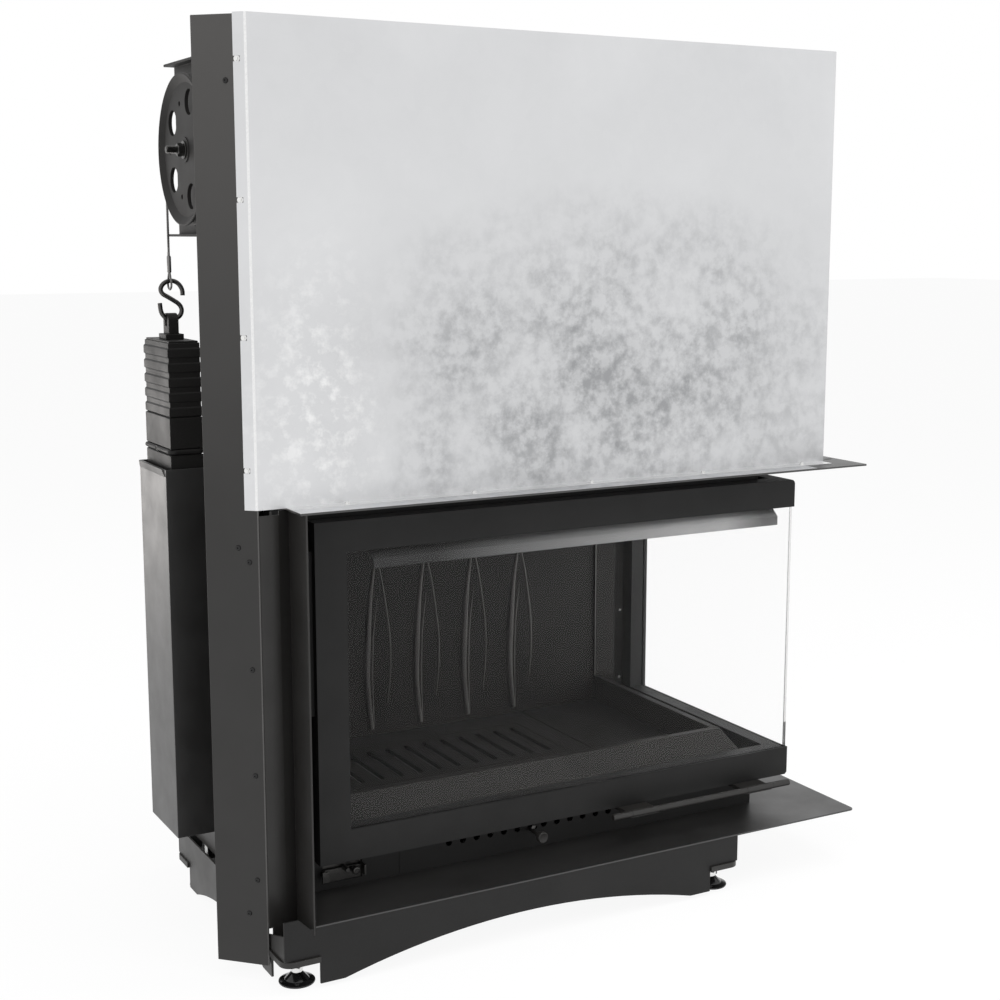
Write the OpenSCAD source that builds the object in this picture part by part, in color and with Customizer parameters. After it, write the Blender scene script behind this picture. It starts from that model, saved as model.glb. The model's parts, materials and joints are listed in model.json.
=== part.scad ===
// Corner fireplace insert with an L-shaped glazed door that lifts into a galvanised hood.
// Two counterweights balance the door, one at the left and one behind the casing.
// Millimetres, +Z up. The origin is the centre of the bounding box, on the floor.

/* [Casing] */
// Width of the fire box casing
body_w = 1001; // [940:1:1100]
// Depth of the fire box casing
body_d = 497; // [470:1:560]
// Thickness of the steel sheet
sheet_t = 3; // [2:0.5:4]
// Height of the lower casing plate's top face
lower_plate_z = 107; // [100:1:125]
// Height of the upper casing plate's top face
upper_plate_z = 777; // [770:1:800]
// Width of the ledge in front of the door
front_ledge = 92; // [80:1:120]
// Width of the ledge at the right of the door
side_ledge = 94; // [80:1:120]
// Radius of the outer corner of the casing plates
plate_corner_r = 10; // [4:1:20]
// Height of the front beam over the fire opening
beam_h = 74; // [60:1:76]
// Width of the jamb at the left of the fire opening
jamb_w = 110; // [90:1:120]

/* [Base] */
// Width of the base
base_w = 891; // [860:1:920]
// Depth of the base
base_d = 540; // [520:1:600]
// Step from the casing's left side out to the base
base_step = 14.5; // [13:0.5:16]
// Height of the skirts' lower edge
skirt_z = 8; // [6:1:14]
// Thickness of the skirt sheet
skirt_t = 4; // [3:0.5:6]
// Width of the arch in the long skirts
arch_w = 683; // [500:1:700]
// Width of the arch in the short skirts
side_arch_w = 340; // [250:1:380]
// Height of the long skirts' arches over their lower edge
arch_h = 44; // [30:1:50]
// Height of the short skirts' arches over their lower edge
side_arch_h = 31; // [24:1:44]
// Length of the cut-out at each foot
foot_cut = 61; // [56:1:61]

/* [Feet] */
// Diameter of the foot discs
foot_d = 60; // [50:1:70]
// Thickness of the foot discs
foot_disc_h = 6; // [4:1:8]
// Height of the cone on each disc
foot_cone_h = 12; // [9:1:14]
// Diameter of the threaded studs
stud_d = 12; // [10:0.5:14]
// Height of the top of the studs
stud_top_z = 84; // [72:1:90]
// Height of the adjusting nut
foot_nut_h = 9; // [7:1:10]
// Distance from the base's left side to the left foot axes
foot_inset_left = 36.5; // [26:0.5:44]
// Distance from the base's right side to the right foot axes
foot_inset_right = 29; // [26:0.5:44]
// Distance from the base's front and rear sides to the foot axes
foot_inset_y = 43; // [28:1:46]
// Height of the foot plates' lower face
foot_plate_z = 46; // [36:1:50]
// Thickness of the foot plates
foot_plate_t = 10; // [8:1:12]
// How far the foot plates stand proud of the skirts
foot_plate_proud = 4; // [2:1:6]

/* [Door] */
// Width of the door's front
door_w = 974; // [920:1:974]
// Height of the door's lower edge
door_z = 165; // [160:1:172]
// Height of the door
door_h = 578; // [560:1:584]
// Depth of the front frame
door_t = 34; // [30:1:40]
// Depth of the side frame
side_door_t = 36; // [30:1:40]
// Gap between the casing and the front frame
door_gap = 2; // [1.5:0.5:4]
// Gap between the casing and the side frame
side_gap = 24; // [18:1:30]
// Width of the left stile
stile_w = 56; // [48:1:64]
// Width of the stile at the rear end of the side frame
rear_stile_w = 34; // [26:1:44]
// Height of the lower rail
rail_low_h = 55; // [46:1:60]
// Height of the upper rail
rail_top_h = 52; // [46:1:58]
// Radius of the upper right corner of the door's front
door_corner_r = 9; // [5:1:14]
// Thickness of the lip in front of the glass
lip_t = 3; // [2:0.5:4]
// Thickness of the glass
glass_t = 4; // [3:0.5:5]
// How far the glass reaches behind the lip
glass_lap = 8; // [5:1:12]
// Clearance around the glass
glass_gap = 0.3; // [0.2:0.1:0.6]
// Height of the deflector strip behind the front glass
deflector_h = 36; // [24:1:50]
// Diameter of the handle bar
handle_d = 12; // [10:0.5:14]
// Length of the handle bar
handle_l = 398; // [340:1:440]
// Distance from the door's right side to the handle's end
handle_end_gap = 29; // [15:1:60]
// Distance from the handle's axis to the door's front
handle_reach = 42; // [36:1:50]
// Length of the sleeves on the handle bar
sleeve_l = 60; // [45:1:70]
// Distance from the handle's ends to the sleeves
sleeve_inset = 40; // [30:1:50]

/* [Lift] */
// Radius of the pulleys
pulley_r = 118; // [112:1:120]
// Width of the pulleys
pulley_w = 20; // [18:1:26]
// Depth of the pulley groove
groove_h = 10; // [8:0.5:11]
// Height of the pulley axles
pulley_z = 1330; // [1320:1:1350]
// Diameter of the pulley axles
axle_d = 12; // [10:0.5:14]
// Diameter of the lift cables
cable_d = 4; // [3:0.5:5]
// Distance from the pulley's mid plane to its bracket
pulley_standoff = 35; // [32:1:40]
// Width of the weight channels, across the pulley's plane
channel_w = 80; // [76:1:90]
// Length of the weight channels, along the pulley's plane
channel_l = 146; // [140:1:156]
// Height of the lower edge of the weight channels
channel_z = 186; // [170:1:186]
// Height of the weight channels
channel_h = 632; // [600:1:660]
// Width of the counterweights
weight_w = 57; // [50:1:62]
// Length of the counterweights
weight_l = 134; // [118:1:138]
// Height of the lower face of the counterweights at rest
weight_z = 750; // [750:1:756]
// Height of the lower block of the counterweights
weight_low_h = 90; // [80:1:110]
// Height of the middle block of the counterweights
weight_mid_h = 52; // [40:1:60]
// Height of one slab of the counterweights
slab_h = 24.2; // [20:0.2:24.4]
// Number of slabs on each counterweight
slab_count = 5; // [3:1:5]
// Diameter of the hook rod
hook_rod_d = 8; // [7:0.5:9]
// Radius of the hook's two loops
hook_r = 16.5; // [15.5:0.5:18]

/* [Hood and posts] */
// Height of the hood's upper edge
hood_top = 1523; // [1500:1:1560]
// Thickness of the galvanised sheet
hood_t = 1.5; // [1:0.5:2]
// Gap between the door's front and the hood's outer face
hood_gap = 32; // [26:1:40]
// Gap between the door's right side and the hood's outer face
hood_side_gap = 39; // [30:1:48]
// Width of the flange along the hood's lower edge
hood_flange = 28; // [20:1:34]
// Width of the slanted flange along the hood's left edge
slant_flange = 20; // [18:1:34]
// Leg of the left post's slanted face, along X and along Y
post_leg = 63; // [58:1:66]
// Height of the lower end of the left post
post_z = 28; // [20:1:50]
// Height of the upper end of the posts
post_top = 1521; // [1490:1:1540]
// Width of the rear right post
rear_post_w = 148; // [140:1:156]
// Width of the slot that the rear carriage runs in
slot_w = 20; // [18:1:24]
// Height of the lower end of the left trim strip
strip_z = 92; // [86:1:100]
// Width of the left trim strip
strip_w = 52.8; // [50:0.1:56]

/* [Hearth] */
// Height of the hearth floor
hearth_z = 200; // [194:1:206]
// Thickness of the cast hearth plates
cast_t = 8; // [6:1:10]
// Height of the surround over the hearth floor
surround_h = 62; // [50:1:70]
// Width of the sloped face of the surround
surround_slope = 32; // [24:1:38]
// Width of the surround's top edge
surround_top_w = 14; // [10:1:18]
// Length of the grate
grate_l = 456; // [410:1:470]
// Depth of the grate
grate_d = 208; // [190:1:220]
// Number of slots in the grate
grate_slots = 11; // [7:1:11]
// Width of a grate slot
grate_slot_w = 11; // [8:1:14]
// Clearance around the grate
grate_gap = 1; // [0.5:0.5:2]
// Distance from the fire box's left side to the grate's centre
grate_x = 479; // [440:1:500]
// Distance from the fire box's front to the grate's centre
grate_y = 301; // [270:1:310]
// Depth of the ash pan
ash_pan_h = 72; // [50:1:74]
// Thickness of the ash pan's sheet
ash_pan_t = 2; // [1:0.5:3]
// Height of the arched ribs on the back plate
rib_h = 330; // [250:5:340]
// Width over one pair of arched ribs
rib_pair_w = 54; // [40:1:70]
// Distance between the pairs of ribs
rib_pitch = 109; // [80:1:120]
// Number of pairs of ribs
rib_pairs = 6; // [3:1:6]

/* [Air and flue] */
// Diameter of the flue collar's bore
flue_d = 200; // [160:5:220]
// Height of the flue collar
flue_h = 80; // [60:1:100]
// Height of the smoke box over the upper casing plate
smoke_h = 403; // [340:1:420]
// Outer diameter of the air inlet collar
inlet_d = 120; // [100:5:130]
// Length of the air inlet collar
inlet_h = 59; // [40:1:60]
// Diameter of the air holes in the front panel
air_hole_d = 12; // [9:0.5:13]
// Distance between the air holes
air_pitch = 27.5; // [26:0.5:30]
// Number of air holes
air_holes = 13; // [9:2:13]
// Height of the air holes
air_z = 147; // [144:1:150]
// Diameter of the air knob
knob_d = 20; // [16:1:24]
// Diameter of the knob's stem
stem_d = 6; // [5:0.5:8]
// How far the air knob stands out of the panel
knob_reach = 53; // [45:1:60]

/* [Hidden] */
$fn = 96;

black = [0.10, 0.10, 0.10];
satin_black = [0.16, 0.155, 0.15];
cast_grey = [0.22, 0.21, 0.20];
zinc = [0.78, 0.79, 0.80];
galvanised = [0.80, 0.81, 0.82];
clear = [0.85, 0.92, 0.95, 0.35];
steel = [0.55, 0.55, 0.56];

// Overlap that makes a cut run past a face
cut = 1;
// Gap between two pieces that move past each other, or that only just seat
seat = 0.3;
// Radial clearance of a running fit
running = 0.05;

// Offsets of the two pulleys from the casing
bracket_t = 4;
upright_w = 17;
left_off = upright_w + bracket_t + pulley_standoff;
rear_off = sheet_t + bracket_t + pulley_standoff;

// Overall box
total_w = left_off + channel_w/2 + body_w + side_gap + side_door_t + side_ledge;
total_d = foot_plate_proud + front_ledge + door_t + door_gap + body_d + rear_off + channel_w/2;
body_x0 = -total_w/2 + left_off + channel_w/2;
body_x1 = body_x0 + body_w;
plate_y0 = -total_d/2 + foot_plate_proud;
door_y0 = plate_y0 + front_ledge;
door_y1 = door_y0 + door_t;
body_y0 = door_y1 + door_gap;
body_y1 = body_y0 + body_d;
door_in_x = body_x1 + side_gap;
door_x1 = door_in_x + side_door_t;
door_x0 = door_x1 - door_w;
door_rear_gap = 2;
door_y2 = body_y1 - door_rear_gap;
plate_x1 = door_x1 + side_ledge;
door_top = door_z + door_h;
floor_z = lower_plate_z - sheet_t;
plate_under_z = upper_plate_z - sheet_t;

// Base
base_x0 = body_x0 - base_step;
base_x1 = base_x0 + base_w;
base_y0 = plate_y0;
base_y1 = base_y0 + base_d;
skirt_h = floor_z - skirt_z;
foot_xs = [base_x0 + foot_inset_left, base_x1 - foot_inset_right];
foot_ys = [base_y0 + foot_inset_y, base_y1 - foot_inset_y];

// Hood, posts and trim
hood_y = door_y0 - hood_gap;
hood_x1 = door_x1 + hood_side_gap;
strip_flange_x = door_x0 - 51;
strip_fold_l = 22;
strip_fold_d = 10.5;
strip_gap_h = 6;
post_x = strip_flange_x - strip_w;
hood_x0 = post_x - sheet_t - hood_t*tan(22.5);
post_corner = [post_x - sheet_t, hood_y + hood_t];
post_return = 40;
post_left_return = 10;
post_lug_zs = [skirt_z + 50, skirt_z + 76];
post_lug_h = 14;
post_lug_margin = 4;
hood_back = body_y1 + 75;
pass_gap = 6;

// Rear post
rear_post_x1 = door_x1 + 29;
rear_slot_x = (door_in_x + door_x1)/2;
rear_slot_z0 = hearth_z - 20;
rear_slot_z1 = post_top - 101;

// Pulleys and cables
wrap_r = pulley_r - groove_h + seat + cable_d/2;
left_pulley = [body_x0 - left_off, body_y0 + 1.5 + wrap_r];
rear_pulley = [rear_slot_x - wrap_r, body_y1 + rear_off];
bracket_z0 = pulley_z - 135;
bracket_z1 = pulley_z + 145;
bracket_a0 = -85;
bracket_a1 = 160;
bracket_flange = 22;
anchor_z = door_top - 48;
anchor_h = 15;
weight_groove_h = 10;
stack_z = weight_z + weight_low_h + weight_groove_h + weight_mid_h + 1;
stack_top = stack_z + slab_count*slab_h + 3;
lug_base_h = 9;
lug_h = 43;
lug_t = 17;
lug_l = 30;
hook_bottom = stack_top + 28;
hook_top = hook_bottom + 4*hook_r;
eye_r = 9;
eye_z = hook_top - hook_rod_d/2 - seat - cable_d/2 + eye_r;
ferrule_h = 22;
ferrule_z = eye_z + eye_r;

// Hearth
deck_z = hearth_z - cast_t;
deck_t = 4;
deck_under = deck_z - deck_t;
liner_x = body_x0 + 60;
liner_t = 20;
back_t = 18;
chamber_x1 = body_x1 - 17;
back_y = body_y1 - sheet_t - back_t;
grate_cx = body_x0 + grate_x;
grate_cy = body_y0 + grate_y;
beam_z = upper_plate_z - sheet_t - beam_h;
panel_h = deck_under - lower_plate_z;

surround_lip = 17;
surround_x1 = body_x1 - 17;
surround_y0 = body_y0 + 4;
floor_seam_x = body_x0 + 755;
liner_top = beam_z - 10;
baffle_drop = 95;
baffle_t = 20;
baffle_rise = 60;
baffle_gap = 130;

// Smoke box, flue and air inlet
collar_t = 2;
smoke_x0 = body_x0 + 85;
smoke_x1 = body_x1 - 21;
smoke_y0 = body_y0 + 32;
smoke_y1 = body_y1 - 15;
smoke_top = upper_plate_z + smoke_h;
flue_x = body_x0 + 530;
flue_y = body_y0 + 337;
inlet_x = body_x0 + 220;
inlet_y = body_y0 + 242;

// Air control and cleaning latch
air_cx = (body_x0 + body_x1)/2 + 8.5;
slider_t = 2;
slider_h = 28;
slider_l = air_holes*air_pitch + 20;
slider_travel = air_pitch/2;
knob_x = air_cx - 4;
knob_z = air_z - 4;
knob_len = 12;
latch_x0 = door_x0 + 18;
latch_x1 = latch_x0 + 72;
latch_z0 = lower_plate_z + 11;
latch_z1 = latch_z0 + 40;
panel_seam_x = door_x0 + 160;

// Small features of the plates, posts and hood
foot_corner_r = 20;
tab_h = 19.5;
tab_l = 25;
dip_l = 77;
dip_h = 28;
plate_slot_l = 18;
plate_slot_w = 7;
plate_slots = [[plate_x1 - 19.4, plate_y0 + 88.4], [plate_x1 - 66.9, plate_y0 + 37.7]];
bolt_d = 6;
flange_bolt_y = hood_y - hood_flange/2;
zinc_bolt_xs = [for (d = [38, 265, 493, 727, 950]) door_x0 + d];
hood_screw_zs = [for (f = [0.91, 0.634, 0.357, 0.083]) upper_plate_z + f*(hood_top - upper_plate_z)];
notch_l = 11;
rivet_d = 9;
left_rivets = [
    [33.7, 1425], [33, 717], [14.9, 695], [14.5, 522], [13.9, 348], [15.2, 173], [30.7, 115]
];
rear_rivets = [387, 235];

// Guides and carriages
guide_x = strip_flange_x - 18;
guide_w = 10;
guide_depth = 10;
guide_top = bracket_z1 - 30;
carriage_h = 275;
carriage_t = 6;
carriage_y1 = body_y0 - 17;
tongue_w = slot_w - 8;
anchor_ferrule_h = 12;
pulley_web_out = pulley_w/2 - 7.7;
pulley_hub_out = pulley_web_out + 2;
pulley_hole_at = 76;
pulley_hole_d = 40;

// Door
glass_h = door_h - rail_low_h - rail_top_h;
glass_top = door_top - rail_top_h;
glass_z0 = door_z + rail_low_h - glass_lap;
glass_z1 = glass_top + glass_lap;
handle_x0 = door_x1 - handle_end_gap - handle_l;
handle_y = door_y0 - handle_reach;
handle_z = door_z + 1;
neck_d = handle_d - 4;
frame_wall = 3;

// A plate between two corners
module slab(p, q) {
    translate(p)
        cube(q - p);
}

// An upright plate with its outline in X and Z, from y0 to y1
module facing(y0, y1) {
    translate([0, y1, 0])
        rotate([90, 0, 0])
            linear_extrude(height = y1 - y0)
                children();
}

// Puts a piece of the lift at the left pulley: local X runs from the door's cable to the weight's
module at_left() {
    translate([left_pulley[0], left_pulley[1], 0])
        rotate([0, 0, 90])
            children();
}

// The same at the rear pulley
module at_rear() {
    translate([rear_pulley[0], rear_pulley[1], 0])
        mirror([1, 0, 0])
            children();
}

// Outline of a skirt of width w: foot cut-outs at both ends and a flat arch between them
module skirt_outline(w, arch, rise) {
    radius = (arch*arch/4 + rise*rise)/(2*rise);
    difference() {
        translate([0, skirt_z])
            square([w, skirt_h]);
        for (x = [0, w - foot_cut])
            translate([x > 0 ? x : -cut, skirt_z - cut])
                square([foot_cut + cut, foot_plate_z + foot_plate_t - skirt_z + cut]);
        translate([w/2, skirt_z + rise - radius])
            circle(r = radius, $fn = 360);
    }
}

// Front skirt: a raised tab at its left end and a slot in which the left trim strip ends
module base_front() {
    color(black)
        difference() {
            union() {
                translate([base_x0, 0, 0])
                    facing(base_y0, base_y0 + skirt_t)
                        skirt_outline(base_w, arch_w, arch_h);
                translate([base_x0, 0, floor_z])
                    facing(base_y0, base_y0 + skirt_t)
                        polygon([[0, -cut], [0, tab_h], [tab_l, tab_h], [tab_l + tab_h + cut, -cut]]);
            }
            slab([strip_flange_x - seat, base_y0 - cut, strip_z - seat],
                [strip_flange_x + sheet_t + seat, base_y0 + skirt_t + cut, floor_z + cut]);
        }
}

module base_rear() {
    color(black)
        translate([base_x0, 0, 0])
            facing(base_y1 - skirt_t, base_y1)
                skirt_outline(base_w, arch_w, arch_h);
}

// A short skirt between the long ones, its outer face at x = 0
module short_skirt() {
    translate([0, base_y0, 0])
        intersection() {
            rotate([90, 0, 90])
                linear_extrude(height = skirt_t)
                    skirt_outline(base_d, side_arch_w, side_arch_h);
            translate([-cut, skirt_t, 0])
                cube([skirt_t + 2*cut, base_d - 2*skirt_t, floor_z]);
        }
}

// Left skirt, its upper edge lowered in front of the post so that the trim strip passes
module base_left() {
    color(satin_black)
        difference() {
            translate([base_x0, 0, 0])
                short_skirt();
            translate([base_x0 - cut, 0, 0])
                rotate([90, 0, 90])
                    linear_extrude(height = skirt_t + 2*cut)
                        polygon([
                            [base_y0, floor_z - 3], [base_y0, floor_z + cut],
                            [base_y0 + dip_l, floor_z + cut], [base_y0 + dip_l, floor_z - dip_h]
                        ]);
        }
}

module base_right() {
    color(satin_black)
        translate([base_x1 - skirt_t, 0, 0])
            short_skirt();
}

// Corner plate that a foot screws into, with one rounded corner at the outside
module foot_plate(ix, iy) {
    size = foot_cut + foot_plate_proud;
    r = foot_corner_r;
    corner = [ix == 0 ? base_x0 : base_x1, iy == 0 ? base_y0 : base_y1];
    difference() {
        translate([corner[0], corner[1], foot_plate_z])
            mirror([ix, 0, 0])
                mirror([0, iy, 0])
                    linear_extrude(height = foot_plate_t)
                        translate([-foot_plate_proud, -foot_plate_proud]) {
                            translate([r, r])
                                circle(r = r);
                            translate([r, 0])
                                square([size - r, size]);
                            translate([0, r])
                                square([size, size - r]);
                        }
        translate([foot_xs[ix], foot_ys[iy], foot_plate_z - cut])
            cylinder(d = stud_d + 2*running, h = foot_plate_t + 2*cut);
    }
}

module foot_plates() {
    color(satin_black)
        for (ix = [0, 1], iy = [0, 1])
            foot_plate(ix, iy);
}

// One levelling foot: disc, cone, adjusting nut and stud turned in one piece
module foot(ix, iy) {
    cone_top = foot_disc_h + foot_cone_h;
    color(steel)
        translate([foot_xs[ix], foot_ys[iy], 0]) {
            rotate_extrude()
                polygon([
                    [0, 0], [foot_d/2, 0], [foot_d/2, foot_disc_h*0.6], [foot_d/2 - 3, foot_disc_h],
                    [stud_d/2 + 5, cone_top], [stud_d/2, cone_top], [stud_d/2, stud_top_z],
                    [0, stud_top_z]
                ]);
            translate([0, 0, cone_top])
                cylinder(d = 1.8*stud_d, h = foot_nut_h, $fn = 6);
        }
}

module foot_front_left() foot(0, 0);
module foot_front_right() foot(1, 0);
module foot_rear_left() foot(0, 1);
module foot_rear_right() foot(1, 1);

// Square-cornered outline with one rounded corner at its lower right
module rounded_right_corner(x0, y0, x1, y1, r) {
    translate([x0, y0])
        square([x1 - x0 - r, y1 - y0]);
    translate([x0, y0 + r])
        square([x1 - x0, y1 - y0 - r]);
    translate([x1 - r, y0 + r])
        circle(r = r);
}

// L-shaped casing plate: a front leg and a leg along the right side
module casing_plate(top_z, x0, inner_x, inner_y, r) {
    translate([0, 0, top_z - sheet_t])
        linear_extrude(height = sheet_t)
            difference() {
                rounded_right_corner(x0, plate_y0, plate_x1, body_y1 - 1, r);
                translate([x0 - cut, inner_y])
                    square([inner_x - x0 + cut, body_y1 - inner_y + cut]);
            }
}

module lower_casing_plate() {
    color(satin_black)
        casing_plate(lower_plate_z, strip_flange_x + sheet_t + seat, body_x1 - sheet_t,
            body_y0 + sheet_t, plate_corner_r);
}

module upper_casing_plate() {
    color(satin_black)
        difference() {
            casing_plate(upper_plate_z, strip_flange_x - 8, door_x1 + pass_gap,
                door_y0 - pass_gap, plate_corner_r/3);
            for (p = plate_slots)
                translate([p[0], p[1], plate_under_z - cut])
                    plate_slot(sheet_t + 2*cut);
            for (x = zinc_bolt_xs)
                translate([x, flange_bolt_y, plate_under_z - cut])
                    cylinder(d = bolt_d, h = sheet_t + 2*cut);
        }
}

// Slot along X with round ends
module plate_slot(h) {
    for (x = [-plate_slot_l/2 + plate_slot_w/2, plate_slot_l/2 - plate_slot_w/2])
        translate([x, 0, 0])
            cylinder(d = plate_slot_w, h = h);
    translate([-plate_slot_l/2 + plate_slot_w/2, -plate_slot_w/2, 0])
        cube([plate_slot_l - plate_slot_w, plate_slot_w, h]);
}

// Front panel of the air box, with the row of air holes and the knob's slot
module front_air_panel() {
    rail_z0 = air_z - slider_h/2 - 0.5;
    rail_z1 = air_z + slider_h/2 + 0.5;
    color(black)
        difference() {
            union() {
                facing(body_y0, body_y0 + sheet_t)
                    translate([door_x0, lower_plate_z])
                        square([body_x1 - door_x0, panel_h]);
                for (z = [rail_z0 - 3, rail_z1])
                    slab([air_cx - slider_l/2 - 8, body_y0 + sheet_t, z],
                        [air_cx + slider_l/2 + 22, body_y0 + sheet_t + 5, z + 3]);
            }
            for (i = [0 : air_holes - 1])
                translate([air_cx + (i - (air_holes - 1)/2)*air_pitch, body_y0 - cut, air_z])
                    rotate([-90, 0, 0])
                        cylinder(d = air_hole_d, h = sheet_t + 2*cut);
            for (x = [knob_x, knob_x + slider_travel])
                translate([x, body_y0 - cut, knob_z])
                    rotate([-90, 0, 0])
                        cylinder(d = stem_d + 1, h = sheet_t + 2*cut);
            slab([knob_x, body_y0 - cut, knob_z - stem_d/2 - 0.5],
                [knob_x + slider_travel, body_y0 + sheet_t + cut, knob_z + stem_d/2 + 0.5]);
            slab([latch_x0, body_y0 - cut, latch_z0], [latch_x1, body_y0 + sheet_t + cut, latch_z1]);
            slab([panel_seam_x, body_y0 - cut, lower_plate_z - cut],
                [panel_seam_x + 1, body_y0 + 1, deck_under + cut]);
        }
}

module side_air_panel() {
    color(black)
        slab([body_x1 - sheet_t, body_y0 + sheet_t, lower_plate_z],
            [body_x1, body_y1 - sheet_t, deck_under]);
}

// Slider behind the air holes; its own holes line up with the panel's when it is open
module air_slider() {
    y0 = body_y0 + sheet_t + seat;
    color(steel)
        difference() {
            slab([air_cx - slider_l/2, y0, air_z - slider_h/2],
                [air_cx + slider_l/2, y0 + slider_t, air_z + slider_h/2]);
            for (i = [0 : air_holes - 1])
                translate([air_cx + (i - (air_holes - 1)/2)*air_pitch, y0 - cut, air_z])
                    rotate([-90, 0, 0])
                        cylinder(d = air_hole_d, h = slider_t + 2*cut);
        }
}

// Knob and stem, carried by the slider
module air_knob() {
    y0 = body_y0 + sheet_t + seat;
    color(black)
        translate([knob_x, y0, knob_z])
            rotate([90, 0, 0])
                rotate_extrude()
                    polygon([
                        [0, 0], [stem_d/2, 0], [stem_d/2, knob_reach - knob_len],
                        [knob_d/2 - 2, knob_reach - knob_len], [knob_d/2, knob_reach - knob_len + 2],
                        [knob_d/2, knob_reach], [knob_d/2 - 2, knob_reach + 2],
                        [0, knob_reach + 2]
                    ]);
}

// Floor of the casing, with the hole for the air inlet
module casing_floor() {
    color(black)
        difference() {
            slab([body_x0, body_y0 + sheet_t, floor_z],
                [body_x1 - sheet_t, body_y1, lower_plate_z]);
            translate([inlet_x, inlet_y, floor_z - cut])
                cylinder(d = inlet_d - 2*collar_t, h = sheet_t + 2*cut);
        }
}

module casing_left_wall() {
    color(satin_black)
        slab([body_x0, body_y0 + sheet_t, lower_plate_z],
            [body_x0 + sheet_t, body_y1 - sheet_t, plate_under_z]);
}

module casing_back_wall() {
    color(black)
        slab([body_x0, body_y1 - sheet_t, lower_plate_z],
            [body_x1, body_y1, plate_under_z]);
}

// Jamb at the left of the opening and the beam over it, round the right corner
module front_frame() {
    color(black) {
        slab([body_x0, body_y0, deck_z], [body_x0 + jamb_w, body_y0 + sheet_t, beam_z]);
        slab([body_x0, body_y0, beam_z], [body_x1, body_y0 + sheet_t, plate_under_z]);
        slab([body_x1 - sheet_t, body_y0 + sheet_t, beam_z],
            [body_x1, body_y1 - sheet_t, plate_under_z]);
        slab([body_x0, body_y0, lower_plate_z],
            [door_x0 - seat, body_y0 + sheet_t, deck_z]);
    }
}

// Side outline of the smoke box, in Y and Z
function smoke_outline(o) = [
    [smoke_y0 + o, upper_plate_z - (o > 0 ? cut : 0)], [smoke_y1 - o, upper_plate_z - (o > 0 ? cut : 0)],
    [smoke_y1 - o, smoke_top - o], [smoke_y0 + 160 + o*0.6, smoke_top - o],
    [smoke_y0 + o, upper_plate_z + 120]
];

// Roof plate of the fire box with the smoke box welded on it
module smoke_box() {
    color(black)
        difference() {
            union() {
                slab([body_x0, body_y0, plate_under_z], [body_x1, body_y1, upper_plate_z]);
                translate([smoke_x0, 0, 0])
                    rotate([90, 0, 90])
                        linear_extrude(height = smoke_x1 - smoke_x0)
                            polygon(smoke_outline(0));
            }
            translate([smoke_x0 + sheet_t, 0, 0])
                rotate([90, 0, 90])
                    linear_extrude(height = smoke_x1 - smoke_x0 - 2*sheet_t)
                        polygon(smoke_outline(sheet_t));
            slab([smoke_x0 + 60, smoke_y0 + 120, plate_under_z - cut],
                [smoke_x1 - 60, smoke_y1 - 60, upper_plate_z + cut]);
            translate([flue_x, flue_y, smoke_top - sheet_t - cut])
                cylinder(d = flue_d + 1, h = sheet_t + 2*cut);
        }
}

// Collar that the flue pipe slips into
module flue_collar() {
    color(black)
        translate([flue_x, flue_y, smoke_top])
            difference() {
                cylinder(d = flue_d + 2*collar_t, h = flue_h);
                translate([0, 0, -cut])
                    cylinder(d = flue_d, h = flue_h + 2*cut);
            }
}

// Collar for the duct that brings combustion air, under the casing's floor
module air_inlet_collar() {
    color(steel)
        translate([inlet_x, inlet_y, floor_z - inlet_h])
            difference() {
                cylinder(d = inlet_d, h = inlet_h);
                translate([0, 0, -cut])
                    cylinder(d = inlet_d - 2*collar_t, h = inlet_h + 2*cut);
            }
}

// Steel deck under the hearth plates; it reaches out to the door at the right
module hearth_deck() {
    color(black)
        difference() {
            slab([body_x0 + sheet_t, body_y0, deck_under],
                [door_in_x - 3, body_y1 - sheet_t, deck_z]);
            slab([body_x0, body_y0 - cut, deck_under - cut],
                [body_x0 + jamb_w + seat, body_y0 + sheet_t, deck_z + cut]);
            slab([grate_cx - grate_l/2 + 12, grate_cy - grate_d/2 + 12, deck_under - cut],
                [grate_cx + grate_l/2 - 12, grate_cy + grate_d/2 - 12, deck_z + cut]);
        }
}

// A bar with a lip, a sloped outer face and a flat top, along X from x0 to x1
module surround_profile(len) {
    rotate([90, 0, 90])
        linear_extrude(height = len)
            polygon([
                [0, 0], [0, surround_lip], [2, surround_lip], [surround_slope, surround_h],
                [surround_slope + surround_top_w, surround_h], [surround_slope + surround_top_w, 0]
            ]);
}

// Raised edge round the hearth: a front bar and a right bar, mitred at the corner
module hearth_surround() {
    bar_w = surround_slope + surround_top_w;
    front_l = surround_x1 - liner_x - seat;
    side_l = back_y - surround_y0 - seat;
    color(cast_grey) {
        intersection() {
            translate([liner_x + seat, surround_y0, deck_z])
                surround_profile(front_l);
            translate([surround_x1, surround_y0, deck_z - cut])
                linear_extrude(height = surround_h + 2*cut)
                    polygon([[0, 0], [-front_l - cut, 0], [-front_l - cut, bar_w + cut],
                        [-bar_w - cut, bar_w + cut]]);
        }
        intersection() {
            translate([surround_x1, surround_y0, deck_z])
                rotate([0, 0, 90])
                    surround_profile(side_l);
            translate([surround_x1, surround_y0, deck_z - cut])
                linear_extrude(height = surround_h + 2*cut)
                    polygon([[0, 0], [-bar_w - cut, bar_w + cut], [-bar_w - cut, side_l + cut],
                        [0, side_l + cut]]);
        }
    }
}

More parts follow.
